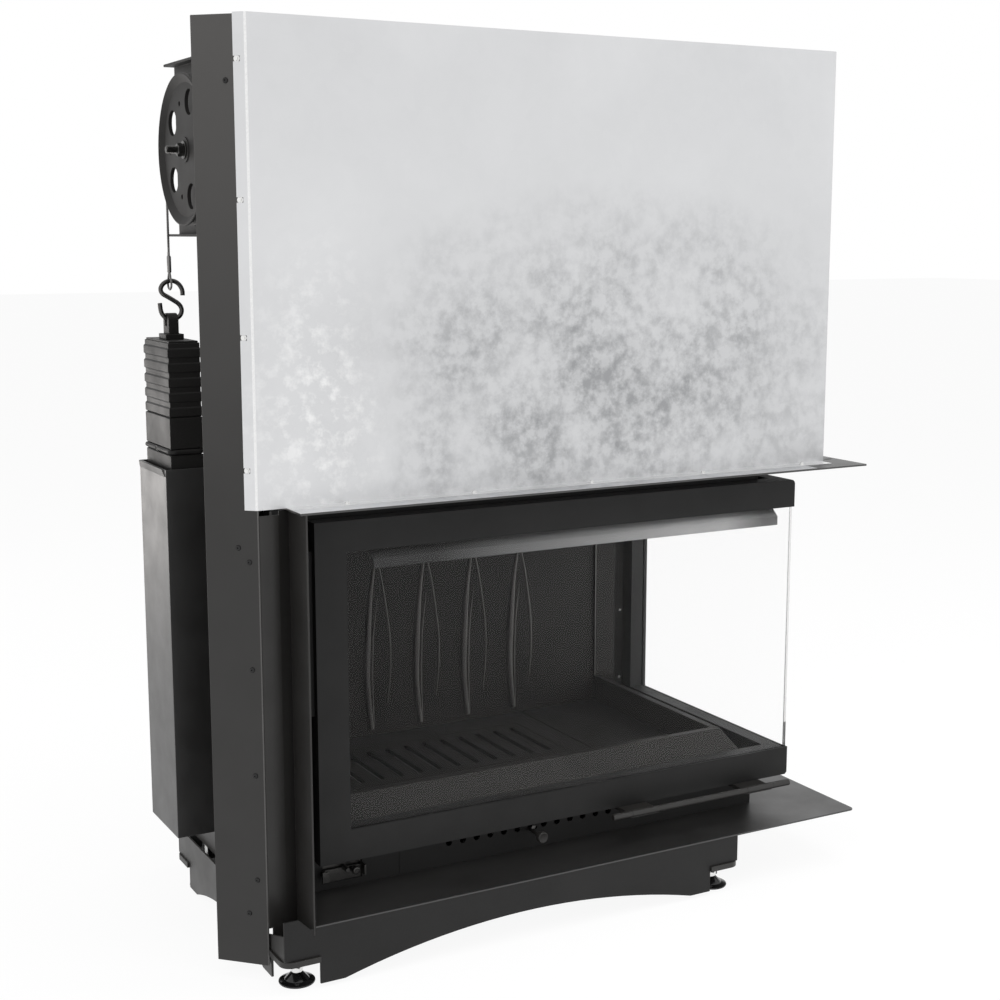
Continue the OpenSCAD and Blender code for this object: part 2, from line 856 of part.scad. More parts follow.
// Cast plates of the hearth floor, with the opening for the grate and one seam
module hearth_floor() {
    bar_w = surround_slope + surround_top_w;
    color(cast_grey)
        difference() {
            slab([liner_x + seat, surround_y0 + bar_w + seat, deck_z],
                [surround_x1 - bar_w - seat, back_y - seat, hearth_z]);
            slab([grate_cx - grate_l/2 - grate_gap, grate_cy - grate_d/2 - grate_gap, deck_z - cut],
                [grate_cx + grate_l/2 + grate_gap, grate_cy + grate_d/2 + grate_gap, hearth_z + cut]);
            slab([floor_seam_x, surround_y0, hearth_z - 2], [floor_seam_x + 2, back_y, hearth_z + cut]);
        }
}

// Slotted cast grate that lies in the floor's opening
module grate() {
    pitch = (grate_l - 56)/(grate_slots - 1);
    slot_l = grate_d - 60;
    color(cast_grey)
        difference() {
            slab([grate_cx - grate_l/2, grate_cy - grate_d/2, deck_z],
                [grate_cx + grate_l/2, grate_cy + grate_d/2, hearth_z]);
            for (i = [0 : grate_slots - 1]) {
                x = grate_cx + (i - (grate_slots - 1)/2)*pitch;
                for (y = [-slot_l/2, slot_l/2])
                    translate([x, grate_cy + y, deck_z - cut])
                        cylinder(d = grate_slot_w, h = cast_t + 2*cut, $fn = 32);
                slab([x - grate_slot_w/2, grate_cy - slot_l/2, deck_z - cut],
                    [x + grate_slot_w/2, grate_cy + slot_l/2, hearth_z + cut]);
            }
        }
}

// Ash pan on the casing's floor under the grate: a folded trough with two ends set into it
module ash_pan() {
    x = grate_l/2 - 18;
    y = grate_d/2 - 18;
    t = ash_pan_t;
    top = lower_plate_z + ash_pan_h;
    color(steel) {
        difference() {
            slab([grate_cx - x, grate_cy - y, lower_plate_z], [grate_cx + x, grate_cy + y, top]);
            slab([grate_cx - x - cut, grate_cy - y + t, lower_plate_z + t],
                [grate_cx + x + cut, grate_cy + y - t, top + cut]);
        }
        for (x0 = [grate_cx - x, grate_cx + x - t])
            slab([x0, grate_cy - y + t + running, lower_plate_z + t + running],
                [x0 + t, grate_cy + y - t - running, top]);
    }
}

// One pair of arched ribs that lean towards each other at both ends, drawn in X and Z
module rib_pair() {
    sag = rib_pair_w/2;
    r = (rib_h*rib_h/4 + sag*sag)/(2*sag);
    for (side = [-1, 1])
        intersection() {
            translate([-side*(r - sag), 0])
                difference() {
                    circle(r = r + 3, $fn = 360);
                    circle(r = r - 3, $fn = 360);
                }
            translate([side > 0 ? 0 : -rib_pair_w, -rib_h/2])
                square([rib_pair_w, rib_h]);
        }
}

// Cast back plate with a row of arched ribs
module back_liner() {
    color(cast_grey) {
        slab([liner_x, back_y, deck_z], [chamber_x1, back_y + back_t, liner_top]);
        for (i = [0 : rib_pairs - 1])
            translate([liner_x + 149 + i*rib_pitch, 0, hearth_z + 12 + rib_h/2])
                facing(back_y - 6, back_y)
                    rib_pair();
    }
}

module left_liner() {
    color(cast_grey)
        slab([liner_x - liner_t, body_y0 + sheet_t, deck_z],
            [liner_x, back_y - seat, liner_top]);
}

// Sloping plate that turns the flames back under the smoke box
module baffle() {
    z = liner_top - baffle_drop;
    y = body_y0 + baffle_gap;
    color(cast_grey)
        translate([liner_x, 0, 0])
            rotate([90, 0, 90])
                linear_extrude(height = chamber_x1 - liner_x)
                    polygon([
                        [back_y, z], [back_y, z + baffle_t],
                        [y, z + baffle_t + baffle_rise], [y, z + baffle_rise]
                    ]);
}

// Folded post at the left: slanted face, a return at each edge
module left_post() {
    cx = post_corner[0];
    cy = post_corner[1];
    t = sheet_t;
    left_x = cx - post_leg;
    left_y = cy + post_leg;
    s = t/sqrt(2);
    r = post_left_return/sqrt(2);
    color(satin_black) {
        for (z = post_lug_zs)
            slab([post_x, cy + post_lug_margin, z],
                [base_x0, cy + post_return - post_lug_margin, z + post_lug_h]);
        translate([0, 0, post_z])
            linear_extrude(height = post_top - post_z)
                polygon([
                    [cx, cy], [cx + t, cy], [cx + t, cy + post_return], [cx, cy + post_return],
                    [cx, cy + t*sqrt(2)], [left_x + 2*s, left_y], [left_x + r + s, left_y + r - s],
                    [left_x + r, left_y + r], [left_x, left_y]
                ]);
    }
}

// Upright beside the casing and the rail that guides the left carriage
module left_guide() {
    rail_y = body_y0 - guide_depth;
    color(black) {
        slab([body_x0 - upright_w, left_pulley[1] + bracket_a0, lower_plate_z],
            [body_x0, left_pulley[1] + bracket_a0 + 45, bracket_z1]);
        slab([guide_x - guide_w/2, rail_y, deck_z + 12], [guide_x + guide_w/2, body_y0, guide_top]);
        slab([body_x0, body_y0, guide_top - 60],
            [guide_x + guide_w/2, left_pulley[1] + bracket_a0 + 20, guide_top - 30]);
    }
}

// Outline of the trim strip from its left end at x0 to the front edge of its flange at y0
module strip_outline(x0, y0) {
    t = sheet_t;
    x1 = strip_flange_x;
    fold = [x1 - strip_fold_l, hood_y];
    polygon([
        [x0, hood_y], fold, [x1, hood_y + strip_fold_d], [x1, y0], [x1 + t, y0],
        [x1 + t, hood_y + strip_fold_d + t], fold + [0, t], [x0, hood_y + t]
    ]);
}

// Strip beside the door with a flange that runs forward to the casing plates' edge, and the
// apron below it that closes the corner of the base
module left_trim_strip() {
    apron_z = foot_plate_z + foot_plate_t + seat;
    gap_z = plate_under_z - strip_gap_h;
    color(satin_black)
        difference() {
            union() {
                translate([0, 0, apron_z])
                    linear_extrude(height = strip_z + cut - apron_z)
                        strip_outline(base_x0 + skirt_t + seat, base_y0 + skirt_t + seat);
                translate([0, 0, strip_z])
                    linear_extrude(height = plate_under_z - strip_z)
                        strip_outline(post_x, plate_y0);
            }
            for (x = [[post_x - cut, post_x + 17], [post_x + 20.5, post_x + 32.5]])
                slab([x[0], hood_y - cut, gap_z], [x[1], hood_y + sheet_t + cut, plate_under_z + cut]);
        }
}

// Rear right post with the slot that the rear carriage runs in
module rear_right_post() {
    x0 = rear_post_x1 - rear_post_w;
    color(black)
        difference() {
            union() {
                slab([x0, body_y1, lower_plate_z], [rear_post_x1, body_y1 + sheet_t, post_top]);
                slab([rear_post_x1 - sheet_t, body_y1, lower_plate_z],
                    [rear_post_x1, body_y1 + 55, post_top]);
            }
            slab([rear_slot_x - slot_w/2, body_y1 - cut, rear_slot_z0],
                [rear_slot_x + slot_w/2, body_y1 + sheet_t + cut, rear_slot_z1]);
        }
    color(black)
        for (z = [upper_plate_z + 60, post_top - 120])
            slab([rear_post_x1, body_y1 + 20, z], [hood_x1 - hood_t, body_y1 + 50, z + 40]);
}

// Galvanised front sheet: slanted flange on the left post, folded foot on the upper casing plate
module hood_front_sheet() {
    t = hood_t;
    w = slant_flange/sqrt(2);
    k = t/sqrt(2);
    cx = post_corner[0];
    cy = post_corner[1];
    x1 = hood_x1 - t;
    color(galvanised)
        difference() {
            union() {
                translate([0, 0, upper_plate_z])
                    linear_extrude(height = hood_top - upper_plate_z)
                        polygon([
                            [hood_x0, cy - t], [x1, cy - t], [x1, cy], [cx, cy],
                            [cx - w, cy + w], [cx - w - k, cy + w - k]
                        ]);
                slab([strip_flange_x - 8, cy - hood_flange, upper_plate_z],
                    [x1, cy - t, upper_plate_z + t]);
                slab([hood_x0 + 6, cy, hood_top - t], [x1, cy + 18, hood_top]);
            }
            for (z = hood_screw_zs)
                translate([cx - w - k, cy + w - k, z])
                    rotate([0, 0, -45])
                        translate([-cut, -4, -4])
                            cube([notch_l + cut, 8, 8]);
            for (x = zinc_bolt_xs)
                translate([x, flange_bolt_y, upper_plate_z - cut])
                    cylinder(d = bolt_d, h = t + 2*cut);
        }
}

module hood_side_sheet() {
    color(galvanised) {
        slab([hood_x1 - hood_t, hood_y, upper_plate_z], [hood_x1, hood_back, hood_top]);
        slab([hood_x1 - 18, hood_y + 20, hood_top - hood_t],
            [hood_x1 - hood_t, hood_back, hood_top]);
    }
}

// Screws with low hexagon heads: five through the hood's foot, four in the slanted flange's notches
module zinc_screws() {
    w = (slant_flange - notch_l/2)/sqrt(2);
    color(zinc) {
        for (x = zinc_bolt_xs)
            translate([x, flange_bolt_y, 0]) {
                translate([0, 0, upper_plate_z + hood_t])
                    cylinder(d = 10, h = 4);
                translate([0, 0, plate_under_z - 4])
                    cylinder(d = bolt_d - 2*running, h = sheet_t + hood_t + 5);
            }
        for (z = hood_screw_zs)
            translate([post_corner[0] - w, post_corner[1] + w, z])
                rotate([90, 0, -45])
                    cylinder(d = 7, h = 5);
    }
}

// Round heads of the blind rivets on the left post and the rear post
module post_rivets() {
    color(black) {
        for (p = left_rivets)
            translate([post_corner[0] - p[0]/sqrt(2), post_corner[1] + p[0]/sqrt(2), p[1]])
                rotate([90, 0, -45])
                    cylinder(d1 = rivet_d, d2 = rivet_d - 3, h = 2.5);
        for (z = rear_rivets)
            translate([rear_slot_x - slot_w/2 - 14, body_y1, z])
                rotate([90, 0, 0])
                    cylinder(d1 = rivet_d - 2, d2 = rivet_d - 5, h = 1.5);
    }
}

// C-shaped bracket behind a pulley
module pulley_bracket() {
    b0 = -pulley_standoff - bracket_t;
    difference() {
        union() {
            slab([bracket_a0, b0, bracket_z0], [bracket_a1, b0 + bracket_t, bracket_z1]);
            for (z = [bracket_z0, bracket_z1 - bracket_t])
                slab([bracket_a0, b0, z], [bracket_a1, b0 + bracket_flange, z + bracket_t]);
        }
        translate([0, b0 - cut, pulley_z])
            rotate([-90, 0, 0])
                cylinder(d = axle_d + 2*running, h = bracket_t + 2*cut);
    }
}

module pulley_brackets() {
    color(satin_black) {
        at_left()
            pulley_bracket();
        at_rear()
            pulley_bracket();
    }
}

// Axle with its spacer sleeve, washer and nut
module axle() {
    b0 = -pulley_standoff - bracket_t;
    side = pulley_hub_out + seat;
    translate([0, 0, pulley_z])
        rotate([-90, 0, 0]) {
            translate([0, 0, b0])
                cylinder(d = axle_d, h = pulley_standoff + bracket_t + 34);
            translate([0, 0, b0 + bracket_t])
                cylinder(d = 20, h = pulley_standoff - pulley_w/2 - seat);
            translate([0, 0, side])
                cylinder(d = 28, h = 2);
            translate([0, 0, side + 2])
                cylinder(d = 20, h = 9, $fn = 6);
        }
}

module pulley_axles() {
    color(steel) {
        at_left()
            axle();
        at_rear()
            axle();
    }
}

// Grooved pulley: thin dished web with a low hub, five round openings and five small holes
module pulley() {
    h = pulley_w/2;
    g = pulley_r - groove_h;
    wall_r = g - 4;
    lip_r = pulley_r - 2;
    web_in = pulley_web_out - 6;
    hub_r = 20;
    bore = axle_d/2 + running;
    flare = cable_d/2 + 3.4;
    translate([0, 0, pulley_z])
        rotate([-90, 0, 0])
            difference() {
                rotate_extrude($fn = 180)
                    polygon([
                        [bore, -h], [hub_r, -h], [hub_r, web_in], [wall_r, web_in], [lip_r, -h],
                        [pulley_r, -h + 1], [pulley_r, -flare], [g, -cable_d/2 - seat],
                        [g, cable_d/2 + seat], [pulley_r, flare], [pulley_r, h - 1], [lip_r, h],
                        [wall_r, pulley_web_out], [hub_r, pulley_web_out], [hub_r, pulley_hub_out],
                        [bore, pulley_hub_out]
                    ]);
                for (i = [0 : 4]) {
                    rotate([0, 0, 36 + i*72])
                        translate([pulley_hole_at, 0, web_in - cut])
                            cylinder(d = pulley_hole_d, h = pulley_web_out - web_in + 2*cut);
                    rotate([0, 0, i*72])
                        translate([pulley_hole_at, 0, web_in - cut])
                            cylinder(d = 8, h = pulley_web_out - web_in + 2*cut);
                }
            }
}

module pulley_left() {
    color(satin_black)
        at_left()
            pulley();
}

module pulley_rear() {
    color(satin_black)
        at_rear()
            pulley();
}

// Half turn of cable over a pulley
module cable_wrap() {
    translate([0, 0, pulley_z])
        rotate([90, 0, 0])
            rotate_extrude(angle = 180, $fn = 180)
                translate([wrap_r, 0])
                    circle(d = cable_d, $fn = 24);
}

module pulley_cables() {
    color(steel) {
        at_left()
            cable_wrap();
        at_rear()
            cable_wrap();
    }
}

// Straight cable from a pulley down to z0, at the distance a from the pulley's axis
module cable_run(a, z0) {
    translate([a, 0, z0])
        cylinder(d = cable_d, h = pulley_z - z0, $fn = 24);
}

module door_cables() {
    color(steel) {
        at_left()
            cable_run(-wrap_r, anchor_z - anchor_h - anchor_ferrule_h);
        at_rear()
            cable_run(-wrap_r, anchor_z - anchor_h - anchor_ferrule_h);
    }
}

module weight_cables() {
    color(steel) {
        at_left()
            cable_run(wrap_r, ferrule_z + ferrule_h);
        at_rear()
            cable_run(wrap_r, ferrule_z + ferrule_h);
    }
}

// Hook rod of two round loops, with the eye of the cable and its ferrule
module lift_hook() {
    translate([wrap_r, 0, 0]) {
        rotate([0, 0, -90])
            rotate([90, 0, 0]) {
                for (top = [true, false])
                    translate([0, top ? hook_top - hook_r : hook_bottom + hook_r])
                        rotate([0, 0, top ? -10 : 171])
                            rotate_extrude(angle = 279)
                                translate([hook_r, 0])
                                    circle(d = hook_rod_d, $fn = 24);
                translate([-2, (hook_top + hook_bottom)/2])
                    rotate([0, 90, 0])
                        cylinder(d = hook_rod_d + 1, h = 4, $fn = 24);
            }
        translate([0, 0, eye_z])
            rotate([90, 0, 0])
                rotate_extrude($fn = 64)
                    translate([eye_r, 0])
                        circle(d = cable_d, $fn = 24);
        translate([0, 0, eye_z + eye_r])
            cylinder(d = cable_d + 5, h = ferrule_h);
    }
}

module hook_left() {
    color(steel)
        at_left()
            lift_hook();
}

module hook_rear() {
    color(steel)
        at_rear()
            lift_hook();
}

// Block of l by w by h with its corner at the centre of its lower face and c cut off its edges
module chamfered_block(l, w, h, c) {
    intersection() {
        rotate([90, 0, 0])
            linear_extrude(height = w, center = true)
                polygon([
                    [-l/2 + c, 0], [l/2 - c, 0], [l/2, c], [l/2, h - c], [l/2 - c, h],
                    [-l/2 + c, h], [-l/2, h - c], [-l/2, c]
                ]);
        rotate([90, 0, 90])
            linear_extrude(height = l, center = true)
                polygon([
                    [-w/2 + c, 0], [w/2 - c, 0], [w/2, c], [w/2, h - c], [w/2 - c, h],
                    [-w/2 + c, h], [-w/2, h - c], [-w/2, c]
                ]);
    }
}

// Counterweight: two blocks, a stack of slabs, a top plate and the lug that the hook goes through
module weight() {
    slot_top = hook_bottom + hook_r - sqrt(pow(hook_r - hook_rod_d/2, 2) - lug_t*lug_t/4) + seat;
    slot_bottom = hook_bottom - hook_rod_d/2 - 2;
    groove_z = weight_z + weight_low_h;
    mid_z = groove_z + weight_groove_h;
    translate([wrap_r, 0, 0]) {
        translate([0, 0, weight_z])
            chamfered_block(weight_l, weight_w, weight_low_h, 2);
        slab([-weight_l/2 + 7, -weight_w/2 + 6, groove_z], [weight_l/2 - 7, weight_w/2 - 6, mid_z]);
        translate([0, 0, mid_z])
            chamfered_block(weight_l, weight_w, weight_mid_h, 2);
        slab([-weight_l/2 + 3, -weight_w/2 + 3, mid_z + weight_mid_h],
            [weight_l/2 - 3, weight_w/2 - 3, stack_z]);
        for (i = [0 : slab_count - 1])
            translate([0, 0, stack_z + i*slab_h])
                chamfered_block(weight_l, weight_w, slab_h, 3);
        slab([-weight_l/2 + 4, -weight_w/2 + 4, stack_top - 3],
            [weight_l/2 - 4, weight_w/2 - 4, stack_top]);
        difference() {
            union() {
                slab([-lug_l/2 - 4.5, -15.5, stack_top], [lug_l/2 + 4.5, 15.5, stack_top + lug_base_h]);
                slab([-lug_l/2, -lug_t/2, stack_top],
                    [lug_l/2, lug_t/2, stack_top + lug_h - lug_l/4]);
                translate([0, lug_t/2, stack_top + lug_h - lug_l/2])
                    rotate([90, 0, 0])
                        cylinder(r = lug_l/2, h = lug_t);
            }
            slab([-hook_rod_d/2 - 1, -lug_t, slot_bottom], [hook_rod_d/2 + 1, lug_t, slot_top]);
        }
    }
}

module weight_left() {
    color(satin_black)
        at_left()
            weight();
}

module weight_rear() {
    color(satin_black)
        at_rear()
            weight();
}

// Channel that a counterweight sinks into, with two spacers that reach back to the casing
module weight_channel(off) {
    t = sheet_t;
    color(satin_black)
        translate([wrap_r, 0, 0]) {
            difference() {
                slab([-channel_l/2, -channel_w/2, channel_z],
                    [channel_l/2, channel_w/2, channel_z + channel_h]);
                slab([-channel_l/2 + t, -channel_w/2 + t, channel_z + t],
                    [channel_l/2 - t, channel_w/2 - t, channel_z + channel_h + cut]);
            }
            for (z = [channel_z + 68, upper_plate_z - 77])
                slab([-20, -off, z], [20, -channel_w/2, z + 40]);
        }
}

module weight_channel_left() {
    at_left()
        weight_channel(left_off);
}

module weight_channel_rear() {
    at_rear()
        weight_channel(rear_off);
}

// Latch that lets the door swing out for cleaning, in the air panel's cut-out
module cleaning_latch() {
    mid_z = (latch_z0 + latch_z1)/2;
    y0 = body_y0 + sheet_t;
    color(steel) {
        slab([latch_x0 - 8, y0, latch_z0 - 6], [latch_x1 + 8, y0 + 3, latch_z1 + 6]);
        slab([latch_x0 + 12, body_y0 - 12, mid_z - 3], [latch_x1 - 14, y0, mid_z + 3]);
        slab([latch_x0 + 12, body_y0 - 12, mid_z - 12], [latch_x0 + 15, y0, mid_z + 12]);
        for (x = [latch_x0 + 26, latch_x1 - 24])
            translate([x, body_y0 - 6, mid_z])
                cylinder(d = 7, h = 15);
    }
}

// Pocket for the front glass, larger than the glass by the clearance g
module front_pane(g) {
    slab([door_x0 + stile_w - glass_lap - g, door_y0 + lip_t, glass_z0 - g],
        [door_x1 - lip_t - glass_t - glass_gap + g, door_y0 + lip_t + glass_t + g, glass_z1 + g]);
}

// The same for the side glass
module side_pane(g) {
    slab([door_x1 - lip_t - glass_t - g, door_y0 + lip_t, glass_z0 - g],
        [door_x1 - lip_t, door_y2 - rear_stile_w + glass_lap + g, glass_z1 + g]);
}

// Hollow of the door frame's box sections, with two drain holes under it
module door_hollow() {
    w = frame_wall;
    k = max(w, 0.3*door_corner_r + 1);
    pocket = glass_lap + 4;
    low_top = door_z + rail_low_h - pocket;
    high_low = glass_top + pocket;
    slab([door_x0 + w, door_y0 + w, door_z + w], [door_x0 + stile_w - pocket, door_y1 - w, door_top - k]);
    slab([door_x0 + w, door_y0 + w, door_z + w], [door_x1 - k, door_y1 - w, low_top]);
    slab([door_in_x + w, door_y0 + w, door_z + w], [door_x1 - k, door_y2 - w, low_top]);
    slab([door_x0 + w, door_y0 + w, high_low], [door_x1 - k, door_y1 - w, door_top - k]);
    slab([door_in_x + w, door_y0 + w, high_low], [door_x1 - k, door_y2 - w, door_top - k]);
    slab([door_in_x + w, door_y2 - rear_stile_w + pocket, door_z + w],
        [door_x1 - k, door_y2 - w, door_top - k]);
    for (x = [door_x0 + stile_w/2, door_in_x - stile_w/2])
        translate([x, door_y0 + door_t/2, door_z - cut])
            cylinder(d = 6, h = w + 2*cut);
}

// L-shaped door frame: two rails that turn the corner, a stile at each end
module door_frame() {
    side_cut = door_y2 - rear_stile_w;
    color(black)
        difference() {
            union() {
                facing(door_y0, door_y1)
                    difference() {
                        door_outline();
                        translate([door_x0 + stile_w, door_z + rail_low_h])
                            square([door_w, glass_h]);
                    }
                facing(door_y1, side_cut)
                    intersection() {
                        door_outline();
                        for (z = [door_z - glass_h, glass_top])
                            translate([door_in_x, z])
                                square([side_door_t, rail_low_h + glass_h]);
                    }
                facing(side_cut, door_y2)
                    intersection() {
                        door_outline();
                        translate([door_in_x, door_z])
                            square([side_door_t, door_h]);
                    }
            }
            front_pane(glass_gap);
            side_pane(glass_gap);
            door_hollow();
        }
}

// Outline of the door's front: rounded upper right corner, small chamfer at the lower right
module door_outline() {
    r = door_corner_r;
    c = 4;
    translate([door_x0, door_z + c])
        square([door_w - r, door_h - c]);
    translate([door_x0, door_z])
        square([door_w - c, c]);
    translate([door_x1 - r, door_z + c])
        square([r, door_h - c - r]);
    polygon([[door_x1 - c, door_z], [door_x1, door_z + c], [door_x1 - c, door_z + c]]);
    translate([door_x1 - r, door_top - r])
        circle(r = r);
}

module front_glass() {
    color(clear)
        front_pane(0);
}

module side_glass() {
    color(clear)
        side_pane(0);
}

// Strip under the upper rail that sends air down the front glass
module glass_deflector() {
    y0 = door_y0 + lip_t + glass_t + 6;
    x0 = door_x0 + 101;
    color(black)
        facing(y0, y0 + 4)
            polygon([
                [x0, glass_top], [x0 + deflector_h*0.4, glass_top - deflector_h],
                [door_in_x - deflector_h*0.4, glass_top - deflector_h], [door_in_x, glass_top]
            ]);
}

// Sealing strips on the inner faces of the door frame
module door_seal() {
    y1 = body_y0 - seat;
    color(black) {
        slab([door_x0 + 14, door_y1, door_z + 8], [door_x0 + 24, y1, door_top - 8]);
        slab([door_x0 + 24, door_y1, door_z + 8], [body_x1 - 8, y1, door_z + 18]);
        slab([door_x0 + 24, door_y1, door_top - 20], [body_x1 - 8, y1, door_top - 10]);
        slab([door_in_x + 1, door_y2, door_z + 8], [door_in_x + 6, body_y1 - seat, door_top - 8]);
    }
}

// Handle bar with a thinner neck inside each sleeve
module handle_bar() {
    necks = [sleeve_inset, handle_l - sleeve_inset - sleeve_l];
    color(satin_black)
        translate([handle_x0, handle_y, handle_z])
            rotate([0, 90, 0])
                difference() {
                    cylinder(d = handle_d, h = handle_l);
                    for (z = necks)
                        translate([0, 0, z])
                            difference() {
                                cylinder(d = handle_d + 2*cut, h = sleeve_l);
                                translate([0, 0, -cut])
                                    cylinder(d = neck_d, h = sleeve_l + 2*cut);
                            }
                }
}

// Sleeves that hold the handle bar, each on a flat tab under the door's lower rail
module handle_mounts() {
    d = handle_d + 0.4;
    color(satin_black)
        for (x = [sleeve_inset, handle_l - sleeve_inset - sleeve_l])
            translate([handle_x0 + x, 0, 0])
                difference() {
                    union() {
                        translate([running, handle_y, handle_z])
                            rotate([0, 90, 0])
                                cylinder(d = d, h = sleeve_l - 2*running);
                        slab([running, handle_y, door_z - 7], [sleeve_l - running, door_y0 + 22, door_z]);
                    }
                    translate([-cut, handle_y, handle_z])
                        rotate([0, 90, 0])
                            cylinder(d = neck_d + 2*running, h = sleeve_l + 2*cut);
                }
}

// Ferrule under a cable lug, bored for the cable
module anchor_ferrule() {
    difference() {
        cylinder(d = cable_d + 6, h = anchor_ferrule_h);
        translate([0, 0, -cut])
            cylinder(d = cable_d + 2*running, h = anchor_ferrule_h + 2*cut);
    }
}

// Carriages: the left one runs on a rail, the rear one through the rear post's slot
module door_carriages() {
    lx = left_pulley[0];
    ly = left_pulley[1] - wrap_r;
    rx = rear_slot_x;
    ry = rear_pulley[1];
    z0 = anchor_z - carriage_h;
    shoe_x = guide_w/2 + 6;
    play = 0.5;
    color(black) {
        difference() {
            union() {
                slab([lx + 2, carriage_y1 - carriage_t, z0], [door_x0, carriage_y1, anchor_z]);
                slab([guide_x - shoe_x, carriage_y1, z0], [guide_x + shoe_x, body_y0 - 2, anchor_z]);
                slab([lx + 2, carriage_y1, anchor_z - anchor_h], [lx + 10, ly + 10, anchor_z]);
                slab([lx - 6, ly - 12, anchor_z - anchor_h], [lx + 2, ly + 10, anchor_z]);
            }
            slab([guide_x - guide_w/2 - play, body_y0 - guide_depth - play, z0 - cut],
                [guide_x + guide_w/2 + play, body_y0, anchor_z + cut]);
            translate([lx, ly, anchor_z - anchor_h - cut])
                cylinder(d = cable_d + 2*seat, h = anchor_h + 2*cut);
        }
        translate([lx, ly, anchor_z - anchor_h - anchor_ferrule_h])
            anchor_ferrule();
        difference() {
            union() {
                slab([rx - tongue_w/2, door_y2, anchor_z - carriage_h/2],
                    [rx + tongue_w/2, ry - 14, anchor_z]);
                slab([rx - 19, body_y1 + sheet_t + 1, anchor_z - carriage_h/3],
                    [rx + 19, body_y1 + sheet_t + 5, anchor_z - 5]);
                slab([rx - 8, ry - 20, anchor_z - anchor_h], [rx + 8, ry + 10, anchor_z]);
            }
            translate([rx, ry, anchor_z - anchor_h - cut])
                cylinder(d = cable_d + 2*seat, h = anchor_h + 2*cut);
        }
        translate([rx, ry, anchor_z - anchor_h - anchor_ferrule_h])
            anchor_ferrule();
    }
}

base_front();
base_rear();
base_left();
base_right();
foot_plates();
foot_front_left();
foot_front_right();
foot_rear_left();
foot_rear_right();
lower_casing_plate();
upper_casing_plate();
front_air_panel();
side_air_panel();
air_slider();
air_knob();
casing_floor();
casing_left_wall();
casing_back_wall();
front_frame();
smoke_box();
flue_collar();
air_inlet_collar();
hearth_deck();
hearth_surround();
hearth_floor();
grate();
ash_pan();
back_liner();
left_liner();
baffle();
left_post();
left_guide();
left_trim_strip();
rear_right_post();
hood_front_sheet();
hood_side_sheet();
zinc_screws();
post_rivets();
pulley_brackets();
pulley_axles();
weight_channel_left();
weight_channel_rear();
cleaning_latch();
door_frame();
front_glass();
side_glass();
glass_deflector();
door_seal();
handle_bar();
handle_mounts();
door_carriages();
pulley_left();
pulley_rear();
pulley_cables();
door_cables();
weight_cables();
weight_left();
weight_rear();
hook_left();
hook_rear();
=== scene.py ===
import json
import math

import bpy
from mathutils import Matrix, Vector


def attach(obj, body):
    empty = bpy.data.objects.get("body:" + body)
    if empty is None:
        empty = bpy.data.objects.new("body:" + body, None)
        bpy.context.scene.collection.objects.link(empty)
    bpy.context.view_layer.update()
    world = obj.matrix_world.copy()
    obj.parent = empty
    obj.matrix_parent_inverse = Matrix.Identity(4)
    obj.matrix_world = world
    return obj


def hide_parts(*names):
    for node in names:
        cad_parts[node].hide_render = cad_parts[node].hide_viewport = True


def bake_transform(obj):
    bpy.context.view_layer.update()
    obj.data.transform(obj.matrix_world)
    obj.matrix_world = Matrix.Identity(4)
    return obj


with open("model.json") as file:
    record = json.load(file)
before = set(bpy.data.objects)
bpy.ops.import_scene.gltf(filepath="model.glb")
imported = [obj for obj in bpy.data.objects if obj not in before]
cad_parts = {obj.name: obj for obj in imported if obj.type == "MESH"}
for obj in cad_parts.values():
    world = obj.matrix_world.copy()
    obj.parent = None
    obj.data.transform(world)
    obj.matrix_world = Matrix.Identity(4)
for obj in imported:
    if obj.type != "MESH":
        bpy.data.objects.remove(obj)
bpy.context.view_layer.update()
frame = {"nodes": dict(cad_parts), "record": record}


def mm(*values):
    """A point given in millimetres, in metres"""
    return Vector(values)/1000


# Handling pieces

def let_go():
    if bpy.context.object and bpy.context.object.mode != "OBJECT":
        bpy.ops.object.mode_set(mode="OBJECT")
    bpy.ops.object.select_all(action="DESELECT")


def hold(*pieces):
    let_go()
    for piece in pieces:
        piece.select_set(True)
    bpy.context.view_layer.objects.active = pieces[0]


def named(name):
    piece = bpy.context.object
    piece.name = name
    piece.data.name = name
    return piece


def settle(piece):
    """Puts the piece's place, turn and size into its mesh"""
    hold(piece)
    bpy.ops.object.transform_apply(location=True, rotation=True, scale=True)
    return piece


def apply_all(piece):
    hold(piece)
    for name in [m.name for m in piece.modifiers]:
        bpy.ops.object.modifier_apply(modifier=name)
    return piece


def eased(piece, width, segments=2, angle=28, crease=62):
    """Rounds the sharp edges by width millimetres; flat faces keep their flat shading"""
    cut = piece.modifiers.new("eased edges", "BEVEL")
    cut.width = width/1000
    cut.segments = segments
    cut.limit_method = "ANGLE"
    cut.angle_limit = math.radians(angle)
    cut.use_clamp_overlap = True
    apply_all(piece)
    bpy.ops.object.shade_smooth_by_angle(angle=math.radians(crease))
    even = piece.modifiers.new("flat faces", "WEIGHTED_NORMAL")
    even.keep_sharp = True
    even.weight = 100
    return apply_all(piece)


def block(name, lo, hi):
    """A block between two corners in millimetres"""
    lo, hi = Vector(lo)/1000, Vector(hi)/1000
    let_go()
    bpy.ops.mesh.primitive_cube_add(size=1, location=(lo + hi)/2, scale=hi - lo)
    return settle(named(name))


def rod(name, start, end, radius, sides):
    """A round bar between two points in millimetres"""
    start, end = Vector(start)/1000, Vector(end)/1000
    along = end - start
    let_go()
    turn = along.to_track_quat("Z", "Y").to_euler()
    bpy.ops.mesh.primitive_cone_add(vertices=sides, radius1=radius/1000, radius2=radius/1000,
                                    depth=along.length, location=(start + end)/2, rotation=turn)
    return settle(named(name))


